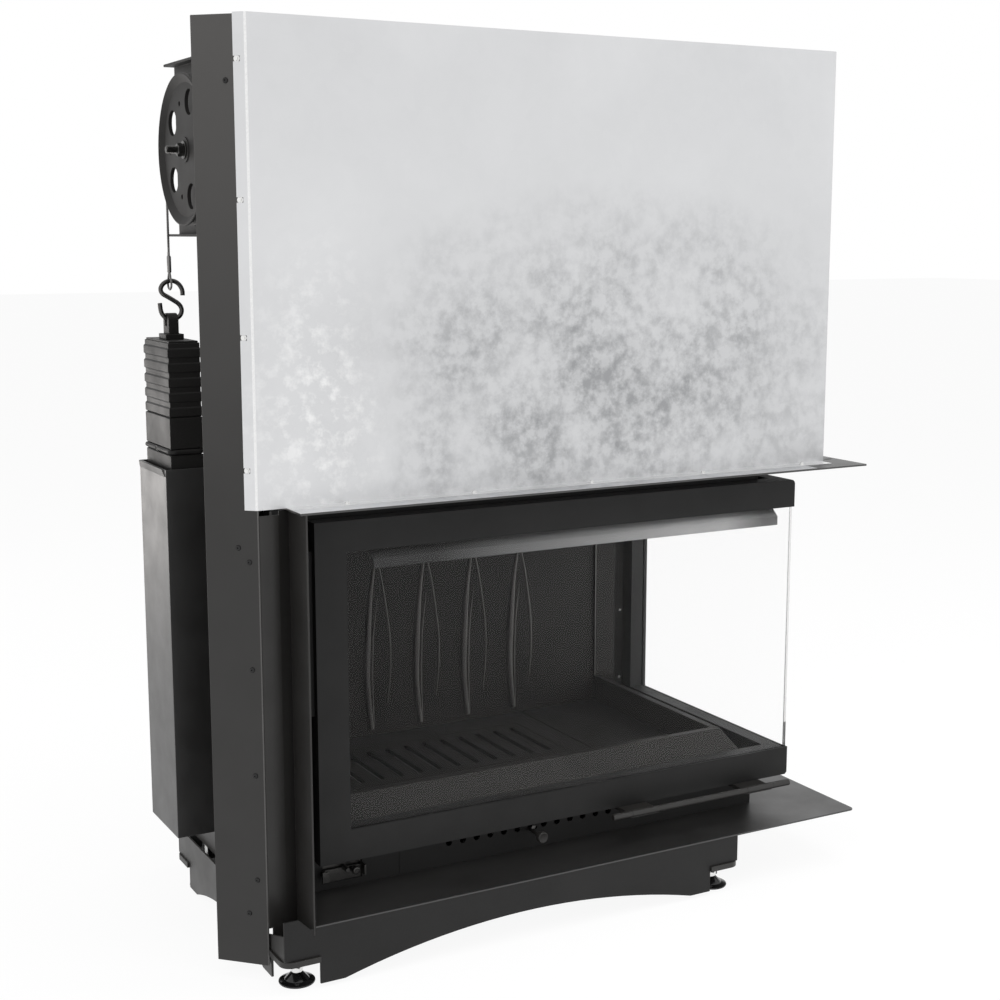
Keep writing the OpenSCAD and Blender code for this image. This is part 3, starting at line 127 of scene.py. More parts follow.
def joined(name, *pieces):
    """The pieces as one; the first piece's corners come first"""
    hold(*pieces)
    if len(pieces) > 1:
        bpy.ops.object.join()
    return named(name)


def copied(piece, name, matrix):
    """A copy with its own mesh, moved or mirrored by the matrix"""
    twin = piece.copy()
    twin.data = piece.data.copy()
    twin.name = name
    twin.data.name = name
    bpy.context.scene.collection.objects.link(twin)
    twin.data.transform(matrix)
    if matrix.determinant() < 0:
        twin.data.flip_normals()
    return twin


def pick(piece, test):
    """Selects in edit mode the faces whose centre and normal pass the test"""
    hold(piece)
    bpy.context.tool_settings.mesh_select_mode = (False, False, True)
    bpy.ops.object.mode_set(mode="EDIT")
    bpy.ops.mesh.select_all(action="DESELECT")
    bpy.ops.object.mode_set(mode="OBJECT")
    for face in piece.data.polygons:
        face.select = test(face.center*1000, face.normal)
    bpy.ops.object.mode_set(mode="EDIT")


def done_editing():
    bpy.ops.object.mode_set(mode="OBJECT")


def pick_edges(piece, test):
    """Selects in edit mode the edges whose two ends, in millimetres, pass the test"""
    pick(piece, lambda centre, normal: False)
    bpy.ops.mesh.select_mode(type="EDGE")
    bpy.ops.object.mode_set(mode="OBJECT")
    for edge in piece.data.edges:
        edge.select = test(*(piece.data.vertices[i].co*1000 for i in edge.vertices))
    bpy.ops.object.mode_set(mode="EDIT")


def pointed(piece, start, axis):
    """Sets a piece drawn upright at the origin on a point, along an axis"""
    quat = Vector(axis).to_track_quat("Z", "Y")
    piece.data.transform(Matrix.Translation(Vector(start)/1000) @ quat.to_matrix().to_4x4())
    return piece


def turned(name, profile, start=(0, 0, 0), axis=(0, 0, 1), steps=48):
    """A turned piece: a circle drawn out through (radius, height) pairs in millimetres"""
    rings = [(r, h) for r, h in profile if r > 0]
    solid = profile[0][0] == 0
    let_go()
    bpy.ops.mesh.primitive_circle_add(vertices=steps, radius=rings[0][0]/1000,
                                      location=(0, 0, rings[0][1]/1000),
                                      fill_type="NGON" if solid else "NOTHING")
    piece = settle(named(name))
    bpy.ops.object.mode_set(mode="EDIT")
    bpy.ops.mesh.select_all(action="SELECT")
    for (r0, h0), (r1, h1) in zip(rings, rings[1:]):
        bpy.ops.mesh.extrude_region_move(TRANSFORM_OT_translate={"value": (0, 0, (h1 - h0)/1000)})
        bpy.ops.transform.resize(value=(r1/r0, r1/r0, 1), center_override=(0, 0, h1/1000))
    bpy.ops.mesh.select_all(action="SELECT")
    if not solid:
        bpy.ops.mesh.remove_doubles(threshold=0.00001)
    bpy.ops.mesh.normals_make_consistent(inside=False)
    bpy.ops.object.mode_set(mode="OBJECT")
    bpy.ops.object.shade_smooth_by_angle(angle=math.radians(35))
    return pointed(piece, start, axis)


def wire(name, lines, radius, sides=2):
    """Round wires of one radius in millimetres along lists of points in metres"""
    let_go()
    bpy.ops.curve.primitive_bezier_curve_add()
    piece = named(name)
    curve = piece.data
    curve.splines.clear()
    curve.dimensions = "3D"
    curve.bevel_depth = radius/1000
    curve.bevel_resolution = sides
    curve.use_fill_caps = True
    for points in lines:
        spline = curve.splines.new("POLY")
        spline.points.add(len(points) - 1)
        for knot, point in zip(spline.points, points):
            knot.co = (*point, 1)
        spline.use_smooth = True
    hold(piece)
    bpy.ops.object.convert(target="MESH")
    piece = named(name)
    bpy.ops.object.shade_smooth_by_angle(angle=math.radians(50))
    return piece


def rounded_path(points, steps=8):
    """A smooth line through the points, as a list of vectors"""
    knots = [Vector(p) for p in points]
    ends = [2*knots[0] - knots[1]] + knots + [2*knots[-1] - knots[-2]]
    line = []
    for a, b, c, d in zip(ends, ends[1:], ends[2:], ends[3:]):
        for i in range(steps):
            t = i/steps
            line.append(0.5*((2*b) + (c - a)*t + (2*a - 5*b + 4*c - d)*t*t
                             + (3*b - a - 3*c + d)*t*t*t))
    return line + [knots[-1]]


# Finishes

# Most of a noise's values lie in this range
USUAL = (0.3, 0.7)
SEEN_RAYS = ("Is Camera Ray", "Is Glossy Ray", "Is Transmission Ray")


def any_ray(tree, kinds):
    """1 for a ray of one of the kinds, 0 for any other"""
    rays = tree.nodes.new("ShaderNodeLightPath")
    found = rays.outputs[kinds[0]]
    for kind in kinds[1:]:
        node = tree.nodes.new("ShaderNodeMath")
        node.operation = "MAXIMUM"
        tree.links.new(found, node.inputs[0])
        tree.links.new(rays.outputs[kind], node.inputs[1])
        found = node.outputs[0]
    return found


class Finish:
    """A material with one Principled shader, and short calls for what feeds it"""

    def __init__(self, name, roughness=0.5, metallic=0.0, shine=0.5, colour=None):
        self.material = bpy.data.materials.new(name)
        self.material.use_nodes = True
        self.tree = self.material.node_tree
        self.shader = self.tree.nodes["Principled BSDF"]
        self.out = self.tree.nodes["Material Output"]
        self.shader.inputs["Roughness"].default_value = roughness
        self.shader.inputs["Metallic"].default_value = metallic
        self.shader.inputs["Specular IOR Level"].default_value = shine
        if colour:
            self.shader.inputs["Base Color"].default_value = (*colour, 1)
        self.place = self.tree.nodes.new("ShaderNodeTexCoord").outputs["Object"]

    def link(self, source, target):
        self.tree.links.new(source, target)

    def to(self, socket, source):
        self.link(source, self.shader.inputs[socket])

    def mixed_surface(self, share, first, second):
        """Ends the material in a mix of two shaders"""
        node = self.tree.nodes.new("ShaderNodeMixShader")
        for socket, value in zip(node.inputs, (share, first, second)):
            self.link(value, socket)
        self.link(node.outputs[0], self.out.inputs["Surface"])

    def along(self, axis):
        """How far along X, Y or Z the place lies, in metres"""
        node = self.tree.nodes.new("ShaderNodeSeparateXYZ")
        self.link(self.place, node.inputs[0])
        return node.outputs[axis]

    def noise(self, scale, detail=3, rough=0.55, warp=0.0):
        node = self.tree.nodes.new("ShaderNodeTexNoise")
        node.inputs["Scale"].default_value = scale
        node.inputs["Detail"].default_value = detail
        node.inputs["Roughness"].default_value = rough
        node.inputs["Distortion"].default_value = warp
        self.link(self.place, node.inputs["Vector"])
        return node.outputs["Fac"]

    def cells(self, scale):
        """A different tone in each crystal of the zinc"""
        node = self.tree.nodes.new("ShaderNodeTexVoronoi")
        node.inputs["Scale"].default_value = scale
        self.link(self.place, node.inputs["Vector"])
        return node.outputs["Color"]

    def ramp(self, source, *stops):
        """Colours or grey levels at places from 0 to 1"""
        node = self.tree.nodes.new("ShaderNodeValToRGB")
        self.link(source, node.inputs["Fac"])
        band = node.color_ramp
        while len(band.elements) < len(stops):
            band.elements.new(0.5)
        for knob, (place, colour) in zip(band.elements, stops):
            knob.position = place
            knob.color = (*colour, 1) if isinstance(colour, tuple) else (colour, colour, colour, 1)
        return node.outputs["Color"]

    def scaled(self, source, low, high, start=0.0, end=1.0):
        """Takes the range start to end to the range low to high, and stops at both ends"""
        node = self.tree.nodes.new("ShaderNodeMapRange")
        self.link(source, node.inputs["Value"])
        node.inputs["From Min"].default_value = start
        node.inputs["From Max"].default_value = end
        node.inputs["To Min"].default_value = low
        node.inputs["To Max"].default_value = high
        return node.outputs["Result"]

    def sums(self, kind, a, b):
        node = self.tree.nodes.new("ShaderNodeMath")
        node.operation = kind
        for socket, value in zip(node.inputs, (a, b)):
            if isinstance(value, (int, float)):
                socket.default_value = value
            else:
                self.link(value, socket)
        return node.outputs[0]

    def blended(self, share, a, b):
        """Colour a, with a share of colour b"""
        node = self.tree.nodes.new("ShaderNodeMix")
        node.data_type = "RGBA"
        for socket, value in zip((node.inputs[0], node.inputs[6], node.inputs[7]), (share, a, b)):
            if isinstance(value, tuple):
                socket.default_value = (*value, 1)
            elif isinstance(value, (int, float)):
                socket.default_value = value
            else:
                self.link(value, socket)
        return node.outputs[2]

    def raised(self, height, strength, distance):
        """Fine relief, its full height given in millimetres"""
        node = self.tree.nodes.new("ShaderNodeBump")
        node.inputs["Strength"].default_value = strength
        node.inputs["Distance"].default_value = distance/1000
        self.link(height, node.inputs["Height"])
        return node.outputs["Normal"]

    def near(self, centre, size, soft):
        """1 at a place of the object, falling to 0 at the given distances in millimetres"""
        node = self.tree.nodes.new("ShaderNodeMapping")
        node.inputs["Scale"].default_value = tuple(1000/s for s in size)
        node.inputs["Location"].default_value = tuple(-c/s for c, s in zip(centre, size))
        self.link(self.place, node.inputs["Vector"])
        length = self.tree.nodes.new("ShaderNodeVectorMath")
        length.operation = "LENGTH"
        self.link(node.outputs["Vector"], length.inputs[0])
        return self.scaled(length.outputs["Value"], 1.0, 0.0, 1.0 - soft, 1.0)


def paint(name, dark, light, gloss=(0.38, 0.5), shine=0.5, grain=950, lift=0.03):
    """Sprayed paint: a fine grain, faint clouds of tone and gloss"""
    f = Finish(name, shine=shine)
    tone = f.noise(5, 5, 0.6, 0.4)
    speck = f.noise(grain*0.7, 2, 0.5)
    mixed = f.blended(f.scaled(tone, 0.0, 1.0, *USUAL), dark, light)
    f.to("Base Color", f.blended(f.scaled(speck, 0.0, 0.35, 0.45, 0.75), mixed,
                                 tuple(c*1.6 for c in light)))
    f.to("Roughness", f.scaled(f.noise(15, 4, 0.6), *gloss, *USUAL))
    f.to("Normal", f.raised(f.noise(grain, 2, 0.6), 0.35, lift))
    return f.material


SATIN_TONES = (0.0135, 0.0128, 0.0120), (0.0175, 0.0165, 0.0155)


def post_paint():
    """Satin black with a painted sheen: the paint grows paler towards the top of the post"""
    f = Finish("post_black_paint")
    tone = f.blended(f.scaled(f.noise(5, 5, 0.6, 0.4), 0.0, 1.0, *USUAL), *SATIN_TONES)
    # Painted sheen: the colour pales with height
    pale = f.scaled(f.along("Z"), 0.0, 1.0, 0.80, 1.50)
    f.to("Base Color", f.blended(pale, tone, (0.056, 0.054, 0.052)))
    f.to("Roughness", f.scaled(f.noise(15, 4, 0.6), 0.38, 0.5, *USUAL))
    f.to("Normal", f.raised(f.noise(950, 2, 0.6), 0.35, 0.03))
    return f.material


def galvanised_sheet():
    """Pale zinc-dipped sheet with grey blotches over its middle, and whitish blotches in a painted
    sheen at its left end
    """
    f = Finish("galvanised_sheet", metallic=0.86)
    blotch = f.noise(34, 9, 0.66)
    field = f.noise(7, 6, 0.6)
    broad = f.noise(3.2, 4, 0.55, 0.3)
    middle = f.near((110, -291, 935), (620, 600, 360), 0.85)
    # Painted sheen: whitish blotches that fade out from the hood's left end
    left_sheen = f.near((-440, -291, 930), (150, 400, 300), 0.85)
    spread = f.sums("MULTIPLY", middle, f.scaled(field, 0.35, 1.25, 0.36, 0.62))
    bloom = f.sums("MULTIPLY", f.scaled(blotch, 0.0, 1.0, 0.42, 0.62), spread)
    haze = f.sums("MULTIPLY", spread, 0.46)
    sheen_blotches = f.sums("MULTIPLY", f.scaled(blotch, 0.0, 0.7, 0.48, 0.64), left_sheen)
    tone = f.ramp(f.scaled(broad, 0.0, 1.0, *USUAL), (0.0, (0.665, 0.67, 0.68)),
                  (1.0, (0.725, 0.73, 0.74)))
    tone = f.blended(f.scaled(f.cells(60), 0.0, 0.05), tone, (0.90, 0.90, 0.90))
    tone = f.blended(haze, tone, (0.44, 0.445, 0.455))
    tone = f.blended(bloom, tone, (0.37, 0.375, 0.385))
    tone = f.blended(sheen_blotches, tone, (0.97, 0.97, 0.97))
    f.to("Base Color", tone)
    f.to("Roughness", f.scaled(f.sums("ADD", field, bloom), 0.34, 0.50, 0.3, 1.1))
    f.to("Normal", f.raised(blotch, 0.10, 0.04))
    return f.material


def metal(name, tone, rough, grain=600):
    """Bare or plated metal with faint tool marks"""
    f = Finish(name, metallic=1.0)
    marks = f.noise(grain, 3, 0.6)
    dull = tuple(c*0.82 for c in tone)
    f.to("Base Color", f.blended(f.scaled(marks, 0.0, 1.0, *USUAL), dull, tone))
    f.to("Roughness", f.scaled(f.noise(60, 4, 0.6), rough*0.8, rough*1.2, *USUAL))
    f.to("Normal", f.raised(marks, 0.25, 0.02))
    return f.material


def cast_iron(name, share=1.0, shine=0.14):
    """Grey-brown cast plates with a sandy skin; a higher share is paler"""
    f = Finish(name, shine=shine)
    sand = f.noise(330, 3, 0.6)
    cloud = f.noise(7, 6, 0.6, 0.5)
    dark, light, grit = (tuple(c*share for c in tone) for tone in (
        (0.0125, 0.0118, 0.0112), (0.0195, 0.0184, 0.0175), (0.034, 0.032, 0.030)))
    base = f.ramp(f.scaled(cloud, 0.0, 1.0, *USUAL), (0.0, dark), (1.0, light))
    f.to("Base Color", f.blended(f.scaled(sand, 0.0, 0.08, 0.5, 0.75), base, grit))
    f.to("Roughness", f.scaled(cloud, 0.42, 0.56, *USUAL))
    f.to("Normal", f.raised(sand, 0.03, 0.01))
    return f.material


def ceramic_glass():
    """Clear glass that lets shadow rays through"""
    f = Finish("ceramic_glass", roughness=0.0, shine=0.05, colour=(1.0, 1.0, 1.0))
    f.shader.inputs["Transmission Weight"].default_value = 1.0
    f.shader.inputs["IOR"].default_value = 1.16
    smear = f.noise(9, 4, 0.6, 0.5)
    f.to("Roughness", f.scaled(smear, 0.0, 0.012, 0.45, 0.8))
    clear = f.tree.nodes.new("ShaderNodeBsdfTransparent")
    shadow = any_ray(f.tree, ["Is Shadow Ray"])
    f.mixed_surface(shadow, f.shader.outputs[0], clear.outputs[0])
    return f.material


def woven_seal():
    """Dark rope seal, its weave at a slant"""
    f = Finish("woven_seal", roughness=0.9, shine=0.2)
    slant = f.tree.nodes.new("ShaderNodeMapping")
    slant.inputs["Rotation"].default_value = (0.6, 0.5, 0)
    f.link(f.place, slant.inputs["Vector"])
    weave = f.tree.nodes.new("ShaderNodeTexWave")
    weave.inputs["Scale"].default_value = 130
    weave.inputs["Distortion"].default_value = 1.2
    f.link(slant.outputs["Vector"], weave.inputs["Vector"])
    f.to("Base Color", f.blended(weave.outputs["Fac"], (0.010, 0.010, 0.010),
                                 (0.035, 0.034, 0.033)))
    f.to("Normal", f.raised(weave.outputs["Fac"], 0.5, 0.3))
    return f.material


def deflector_steel():
    """Bare strip over the window with a painted highlight along it, its upper half blackened by the
    smoke
    """
    f = Finish("deflector_steel", metallic=0.6, shine=0.8)
    # Painted highlight: the strip is black but for a paler band that brightens along X and dims
    # again near its right end
    highlight_rise = f.scaled(f.along("X"), 0.02, 0.34, -0.22, 0.30)
    grey = f.sums("MULTIPLY", highlight_rise, f.scaled(f.along("X"), 1.0, 0.3, 0.38, 0.47))
    edge = f.sums("ADD", f.along("Z"), f.sums("MULTIPLY", f.noise(14, 4, 0.6), 0.004))
    soot = f.scaled(edge, 0.0, 0.3, 0.668, 0.690)
    tone = f.ramp(grey, (0.0, 0.0), (1.0, 1.0))
    f.to("Base Color", f.blended(soot, tone, (0.018, 0.018, 0.018)))
    f.to("Roughness", f.scaled(f.noise(40, 4, 0.6), 0.34, 0.44, *USUAL))
    return f.material


SATIN = paint("satin_black_paint", *SATIN_TONES)
HEATPROOF = paint("heatproof_black_paint", (0.0095, 0.0093, 0.0092), (0.0130, 0.0127, 0.0125),
                  gloss=(0.46, 0.58), shine=0.3, grain=1100, lift=0.025)
DOOR_PAINT = paint("door_black_paint", (0.0105, 0.0104, 0.0103), (0.0140, 0.0138, 0.0136),
                   gloss=(0.46, 0.58), shine=0.26, grain=1100, lift=0.02)
WEIGHT_PAINT = paint("weight_black_paint", (0.0098, 0.0095, 0.0092), (0.0128, 0.0123, 0.0119),
                     gloss=(0.42, 0.55), shine=0.19, grain=700, lift=0.04)
DULL_BLACK = paint("dull_black_paint", (0.0140, 0.0134, 0.0129), (0.0175, 0.0168, 0.0162),
                   gloss=(0.5, 0.6), shine=0.2, grain=800, lift=0.03)
CHANNEL_PAINT = paint("channel_black_paint", (0.0080, 0.0077, 0.0074), (0.0105, 0.0101, 0.0097),
                      shine=1.0)
LEDGE_PAINT = paint("ledge_black_paint", (0.0110, 0.0107, 0.0104), (0.0150, 0.0146, 0.0142),
                    gloss=(0.36, 0.46), shine=1.0, grain=1100, lift=0.02)
# Near-black paint for the guide that stands in the shade: painted shade
PAINTED_SHADE_BLACK = paint("painted_shade_black", (0.0035, 0.0035, 0.0035), (0.0050, 0.0050, 0.0050),
                    gloss=(0.6, 0.7), shine=0.05)
# Paler paint for the post's rounded corner: a painted highlight
CORNER_HIGHLIGHT_PAINT = paint("painted_corner_highlight", (0.075, 0.073, 0.071), (0.095, 0.093, 0.091))
GLOSS_BLACK = paint("gloss_black_plastic", (0.006, 0.006, 0.006), (0.009, 0.009, 0.009),
                    gloss=(0.1, 0.18), grain=300, lift=0.01)
GALVANISED = galvanised_sheet()
POST_PAINT = post_paint()
ZINC = metal("bright_zinc", (0.93, 0.93, 0.92), 0.3)
STEEL = metal("plain_steel", (0.26, 0.255, 0.25), 0.38)
DARK_STEEL = metal("dark_steel", (0.10, 0.098, 0.095), 0.34)
CABLE = metal("cable_steel", (0.24, 0.235, 0.23), 0.36, 900)
# Paler metal on the hood's folds and lower flange: a painted highlight
FOLD_HIGHLIGHT_METAL = metal("painted_fold_highlight", (0.97, 0.97, 0.97), 0.42)
RIVET_BLACK = paint("rivet_black", (0.006, 0.006, 0.006), (0.009, 0.009, 0.009),
                    gloss=(0.16, 0.24), shine=0.35, grain=400, lift=0.01)
CAST = cast_iron("cast_iron")
# A paler, shinier copy of the cast iron for the ribs: a painted highlight
RIB_HIGHLIGHT_CAST = cast_iron("rib_cast_iron_painted_highlight", 3.4, 0.4)
CLEAR = ceramic_glass()
SEAL = woven_seal()
DEFLECTOR = deflector_steel()
SLOT_FINISH = {
    "frame_paint": SATIN, "casing_paint": HEATPROOF, "door_paint": DOOR_PAINT, "cast": CAST,
    "galvanised": GALVANISED, "zinc": ZINC, "pane": CLEAR, "seal": SEAL, "cable": CABLE,
    "weight_paint": WEIGHT_PAINT, "steel": STEEL,
}
NODE_SLOT = {s["node"]: s["material_slot"] for s in frame["record"]["subparts"]}
NODE_BODY = {n: b for b, ns in frame["record"]["behaviour"]["bodies"].items() for n in ns}


def dress(piece, material):
    """Leaves the piece with this one material"""
    piece.data.materials.clear()
    piece.data.materials.append(material)


def fit(piece, material, *nodes, body=None, slot=None):
    """Gives a finished piece its material and its body, and hides the CAD nodes it stands for; the
    slot argument is not used
    """
    dress(piece, material)
    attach(piece, body or NODE_BODY[nodes[0]])
    if nodes:
        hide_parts(*nodes)
    return piece


def trimmed(piece, material, test):
    """Gives a second material to the faces whose centre and normal pass the test"""
    piece.data.materials.append(material)
    for face in piece.data.polygons:
        if test(face.center*1000, face.normal):
            face.material_index = 1


for node_name, node_object in frame["nodes"].items():
    dress(node_object, SLOT_FINISH[NODE_SLOT[node_name]])


def softened(node, width, segments=2, material=None, fold=None):
    """A copy of a CAD node with its sharp edges rounded, which stands for the node

    fold is a test of an edge's two ends, and the wider rounding of the edges that pass it
    """
    source = frame["nodes"][node]
    piece = source.copy()
    piece.data = source.data.copy()
    piece.parent = None
    piece.name = node + "_soft"
    piece.data.name = piece.name
    for key in [k for k in piece.keys() if k.startswith("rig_")]:
        del piece[key]
    bpy.context.scene.collection.objects.link(piece)
    hold(piece)
    bpy.ops.object.mode_set(mode="EDIT")
    bpy.ops.mesh.select_all(action="SELECT")
    bpy.ops.mesh.remove_doubles(threshold=0.00001)
    bpy.ops.mesh.customdata_custom_splitnormals_clear()
    bpy.ops.mesh.dissolve_limited(angle_limit=math.radians(1))
    bpy.ops.object.mode_set(mode="OBJECT")
    if fold:
        test, rounding = fold
        pick_edges(piece, test)
        bpy.ops.mesh.bevel(offset=rounding/1000, segments=2, affect="EDGES")
        done_editing()
    eased(piece, width, segments)
    return fit(piece, material or SLOT_FINISH[NODE_SLOT[node]], node)


# Sheet metal and castings

HOOD_FOLD = (-549.9, -291.5)
POST_CORNER = (-549.3, -290)


def on_hood_fold(*ends):
    """Whether an edge lies on the fold between the hood's front and its slanted flange"""
    return all(abs(end.x - HOOD_FOLD[0]) < 0.3 and abs(end.y - HOOD_FOLD[1]) < 0.3
               for end in ends)


def highlight_on_hood(centre, normal):
    """The rounded folds and the lower flange, which get a paler metal than the flat sheet as a
    painted highlight
    """
    folded = normal.y < -0.05 and max(abs(normal.x), abs(normal.z)) > 0.12
    slanted = abs(normal.x + 0.7071) < 0.02 and abs(normal.y + 0.7071) < 0.02
    flange = normal.z > 0.5 and centre.z < 785
    return (folded and not slanted) or flange


def post_corner_face(centre, normal):
    """The rounded corner between the left post's slanted face and its front"""
    return normal.y < -0.8 and abs(normal.x) < 0.55 and centre.y < POST_CORNER[1] + 2


for node, width in {
    "base_front": 0.5, "base_rear": 0.5, "base_left": 0.5, "base_right": 0.5, "foot_plates": 1.0,
    "front_air_panel": 0.5, "side_air_panel": 0.5, "casing_left_wall": 0.5,
    "casing_back_wall": 0.5, "front_frame": 0.7, "hearth_deck": 0.7, "hearth_floor": 0.9,
    "left_liner": 1.0, "baffle": 2.0, "left_trim_strip": 0.3, "rear_right_post": 0.6,
    "hood_side_sheet": 0.45, "smoke_box": 0.8, "flue_collar": 0.4, "air_inlet_collar": 0.4,
    "ash_pan": 0.4, "door_carriages": 0.6, "handle_mounts": 0.6, "casing_floor": 0.5,
}.items():
    softened(node, width)
softened("pulley_brackets", 0.8, 2, DULL_BLACK)
# The guide gets the near-black paint as painted shade
softened("left_guide", 0.5, 2, PAINTED_SHADE_BLACK)
for node in ("lower_casing_plate", "upper_casing_plate"):
    softened(node, 0.7, 2, LEDGE_PAINT)
# The post's rounded corner gets the paler paint as a painted highlight
trimmed(softened("left_post", 1.3, 2, POST_PAINT), CORNER_HIGHLIGHT_PAINT, post_corner_face)
for node in ("weight_channel_left", "weight_channel_rear"):
    softened(node, 0.8, 2, CHANNEL_PAINT)
trimmed(softened("hood_front_sheet", 0.6, fold=(on_hood_fold, 2.2)), FOLD_HIGHLIGHT_METAL, highlight_on_hood)
softened("hearth_surround", 1.8, 3)
softened("door_frame", 0.9, 3)
for node in ("pulley_left", "pulley_rear"):
    softened(node, 0.8, 2, DULL_BLACK)
softened("grate", 1.2)
softened("door_seal", 2.4, 3)

# Deflector, back wall and strips

WALL_FRONT = 252.5
RIB_PAIRS = 6
FIRST_RIBS = -320.5
RIB_PITCH = 109


def deflector():
    """Folded strip behind the window's upper edge: an upright part and a part that leans back"""
    strip = block("folded_deflector", (-334, -246.5, 656.5), (502, -243.5, 673))
    pick(strip, lambda centre, normal: normal.z > 0.9)
    bpy.ops.mesh.extrude_region_move(TRANSFORM_OT_translate={"value": (-0.0075, 0.009, 0.018)})
    done_editing()
    return eased(strip, 0.6, 2, 15)


fit(deflector(), DEFLECTOR, "glass_deflector")


def leaf_rib(name, points, widths):
    """A rounded rib on the back wall through (x, z) points, as wide as given at each of them"""
    let_go()
    bpy.ops.curve.primitive_bezier_curve_add()
    rib = named(name)
    curve = rib.data
    curve.splines.clear()
    curve.dimensions = "3D"
    curve.bevel_depth = 0.0005
    curve.bevel_resolution = 4
    curve.use_fill_caps = True
    steps = 8
    path = rounded_path([mm(x, 0, z) for x, z in points], steps)
    spline = curve.splines.new("POLY")
    spline.points.add(len(path) - 1)
    for i, (knot, point) in enumerate(zip(spline.points, path)):
        k = min(i//steps, len(widths) - 2)
        t = i/steps - k
        knot.co = (*point, 1)
        knot.radius = widths[k]*(1 - t) + widths[k + 1]*t
    hold(rib)
    bpy.ops.object.convert(target="MESH")
    rib = named(name)
    rib.data.transform(Matrix.Translation(mm(0, WALL_FRONT, 0)) @ Matrix.Diagonal((1, 0.9, 1, 1)))
    bpy.ops.object.shade_smooth_by_angle(angle=math.radians(50))
    return rib


def back_liner():
    """Cast back wall, and its pairs of leaf-shaped ribs"""
    wall = block("liner_wall", (-469.5, WALL_FRONT, 192), (454.5, 270.5, 690))
    eased(wall, 1.0)
    ribs = []
    for i in range(RIB_PAIRS):
        x = FIRST_RIBS + RIB_PITCH*i
        outer = [(x - 6, 543), (x - 15, 480), (x - 22, 377), (x - 23, 300), (x - 15, 212)]
        inner = [(x + 1, 482), (x - 7, 425), (x - 11, 377), (x - 12.5, 300), (x - 10, 214)]
        right = [(x + 5, 542), (x + 15, 490), (x + 27, 400), (x + 28, 330), (x + 22, 262)]
        ribs += [leaf_rib("outer_rib", outer, (5, 9, 13, 12, 9)),
                 leaf_rib("inner_rib", inner, (1, 3, 4, 4, 3)),
                 leaf_rib("right_rib", right, (4, 4, 4, 3, 1))]
    return wall, joined("back_liner_ribs", *ribs)


for part, finish in zip(back_liner(), (CAST, RIB_HIGHLIGHT_CAST)):
    fit(part, finish, "back_liner")


def jamb_strip():
    """Cast strip that stands on the surround before the right end of the back wall"""
    strip = block("right_jamb_strip", (408.5, 246.2, 254.4), (458, 252, 688))
    return eased(strip, 1.2, 2)


jamb = fit(jamb_strip(), CAST, body=NODE_BODY["hearth_surround"], slot="cast")
trimmed(jamb, STEEL, lambda centre, normal: normal.x < -0.2 and normal.y < -0.2)


def reflection_strip():
    """Pale zinc strip laid on the black ledge before the hood's flange: a painted reflection of the
    hood in the ledge
    """
    return eased(block("ledge_reflection_strip", (-501.3, -350.6, 777.1), (508, -318.2, 777.9)), 0.3, 2)


# A pale strip on the black ledge: a painted reflection of the hood
fit(reflection_strip(), GALVANISED, body=NODE_BODY["hood_front_sheet"], slot="galvanised")

# Lift: places at both pulleys

LEFT_PULLEY = (-585.5, -111.7)
REAR_PULLEY = (403.2, 315.5)
PULLEY_Z = 1330
WRAP = 110.3
DOOR_END = 669
WEIGHT_END = 1150
GROOVE_Z = 845.2
SLABS_FROM = 903
SLAB_PITCH = 24.2
WEIGHT_HALF = (67, 28.5)
RING_HALF = (64.2, 26.5)
RING_R = 4.4


def at_lift(side, a, b, z):
    """A point in metres: a runs from the door's cable to the weight's, b away from the casing"""
    if side == "left":
        return mm(LEFT_PULLEY[0] - b, LEFT_PULLEY[1] + a, z)
    return mm(REAR_PULLEY[0] - a, REAR_PULLEY[1] + b, z)


def lift_matrix(side):
    """Takes a piece drawn with X = a, Y = b to its pulley"""
    if side == "left":
        rows = ((0, -1, 0, LEFT_PULLEY[0]/1000), (1, 0, 0, LEFT_PULLEY[1]/1000))
    else:
        rows = ((-1, 0, 0, REAR_PULLEY[0]/1000), (0, 1, 0, REAR_PULLEY[1]/1000))
    return Matrix((*rows, (0, 0, 1, 0), (0, 0, 0, 1)))


def both_sides(piece, stem):
    """The piece drawn at the origin, copied to the left and the rear lift"""
    twins = {side: copied(piece, stem + "_" + side, lift_matrix(side)) for side in ("left", "rear")}
    bpy.data.objects.remove(piece)
    return twins


def threaded_rod(name, start, end, radius, pitch=1.75):
    """A rod with a real thread round it, between two points in millimetres"""
    length = (Vector(end) - Vector(start)).length
    ridge_r = pitch*0.5
    let_go()
    bpy.ops.mesh.primitive_circle_add(vertices=3, radius=ridge_r/1000,
                                      location=mm(radius - ridge_r, 0, pitch),
                                      rotation=(math.pi/2, math.pi/2, 0))
    ridge = settle(named(name + "_ridge"))
    turn = ridge.modifiers.new("thread", "SCREW")
    turn.steps = turn.render_steps = 18
    turn.screw_offset = pitch/1000
    turn.iterations = int(length/pitch) - 1
    apply_all(ridge)
    bpy.ops.object.mode_set(mode="EDIT")
    bpy.ops.mesh.select_all(action="SELECT")
    bpy.ops.mesh.normals_make_consistent(inside=False)
    bpy.ops.object.mode_set(mode="OBJECT")
    bpy.ops.object.shade_smooth_by_angle(angle=math.radians(35))
    core = turned(name + "_core", [(0, 0), (radius*0.85, 0), (radius*0.85, length - 1),
                                   (radius*0.72, length), (0, length)], steps=32)
    return pointed(joined(name, core, ridge), start, Vector(end) - Vector(start))


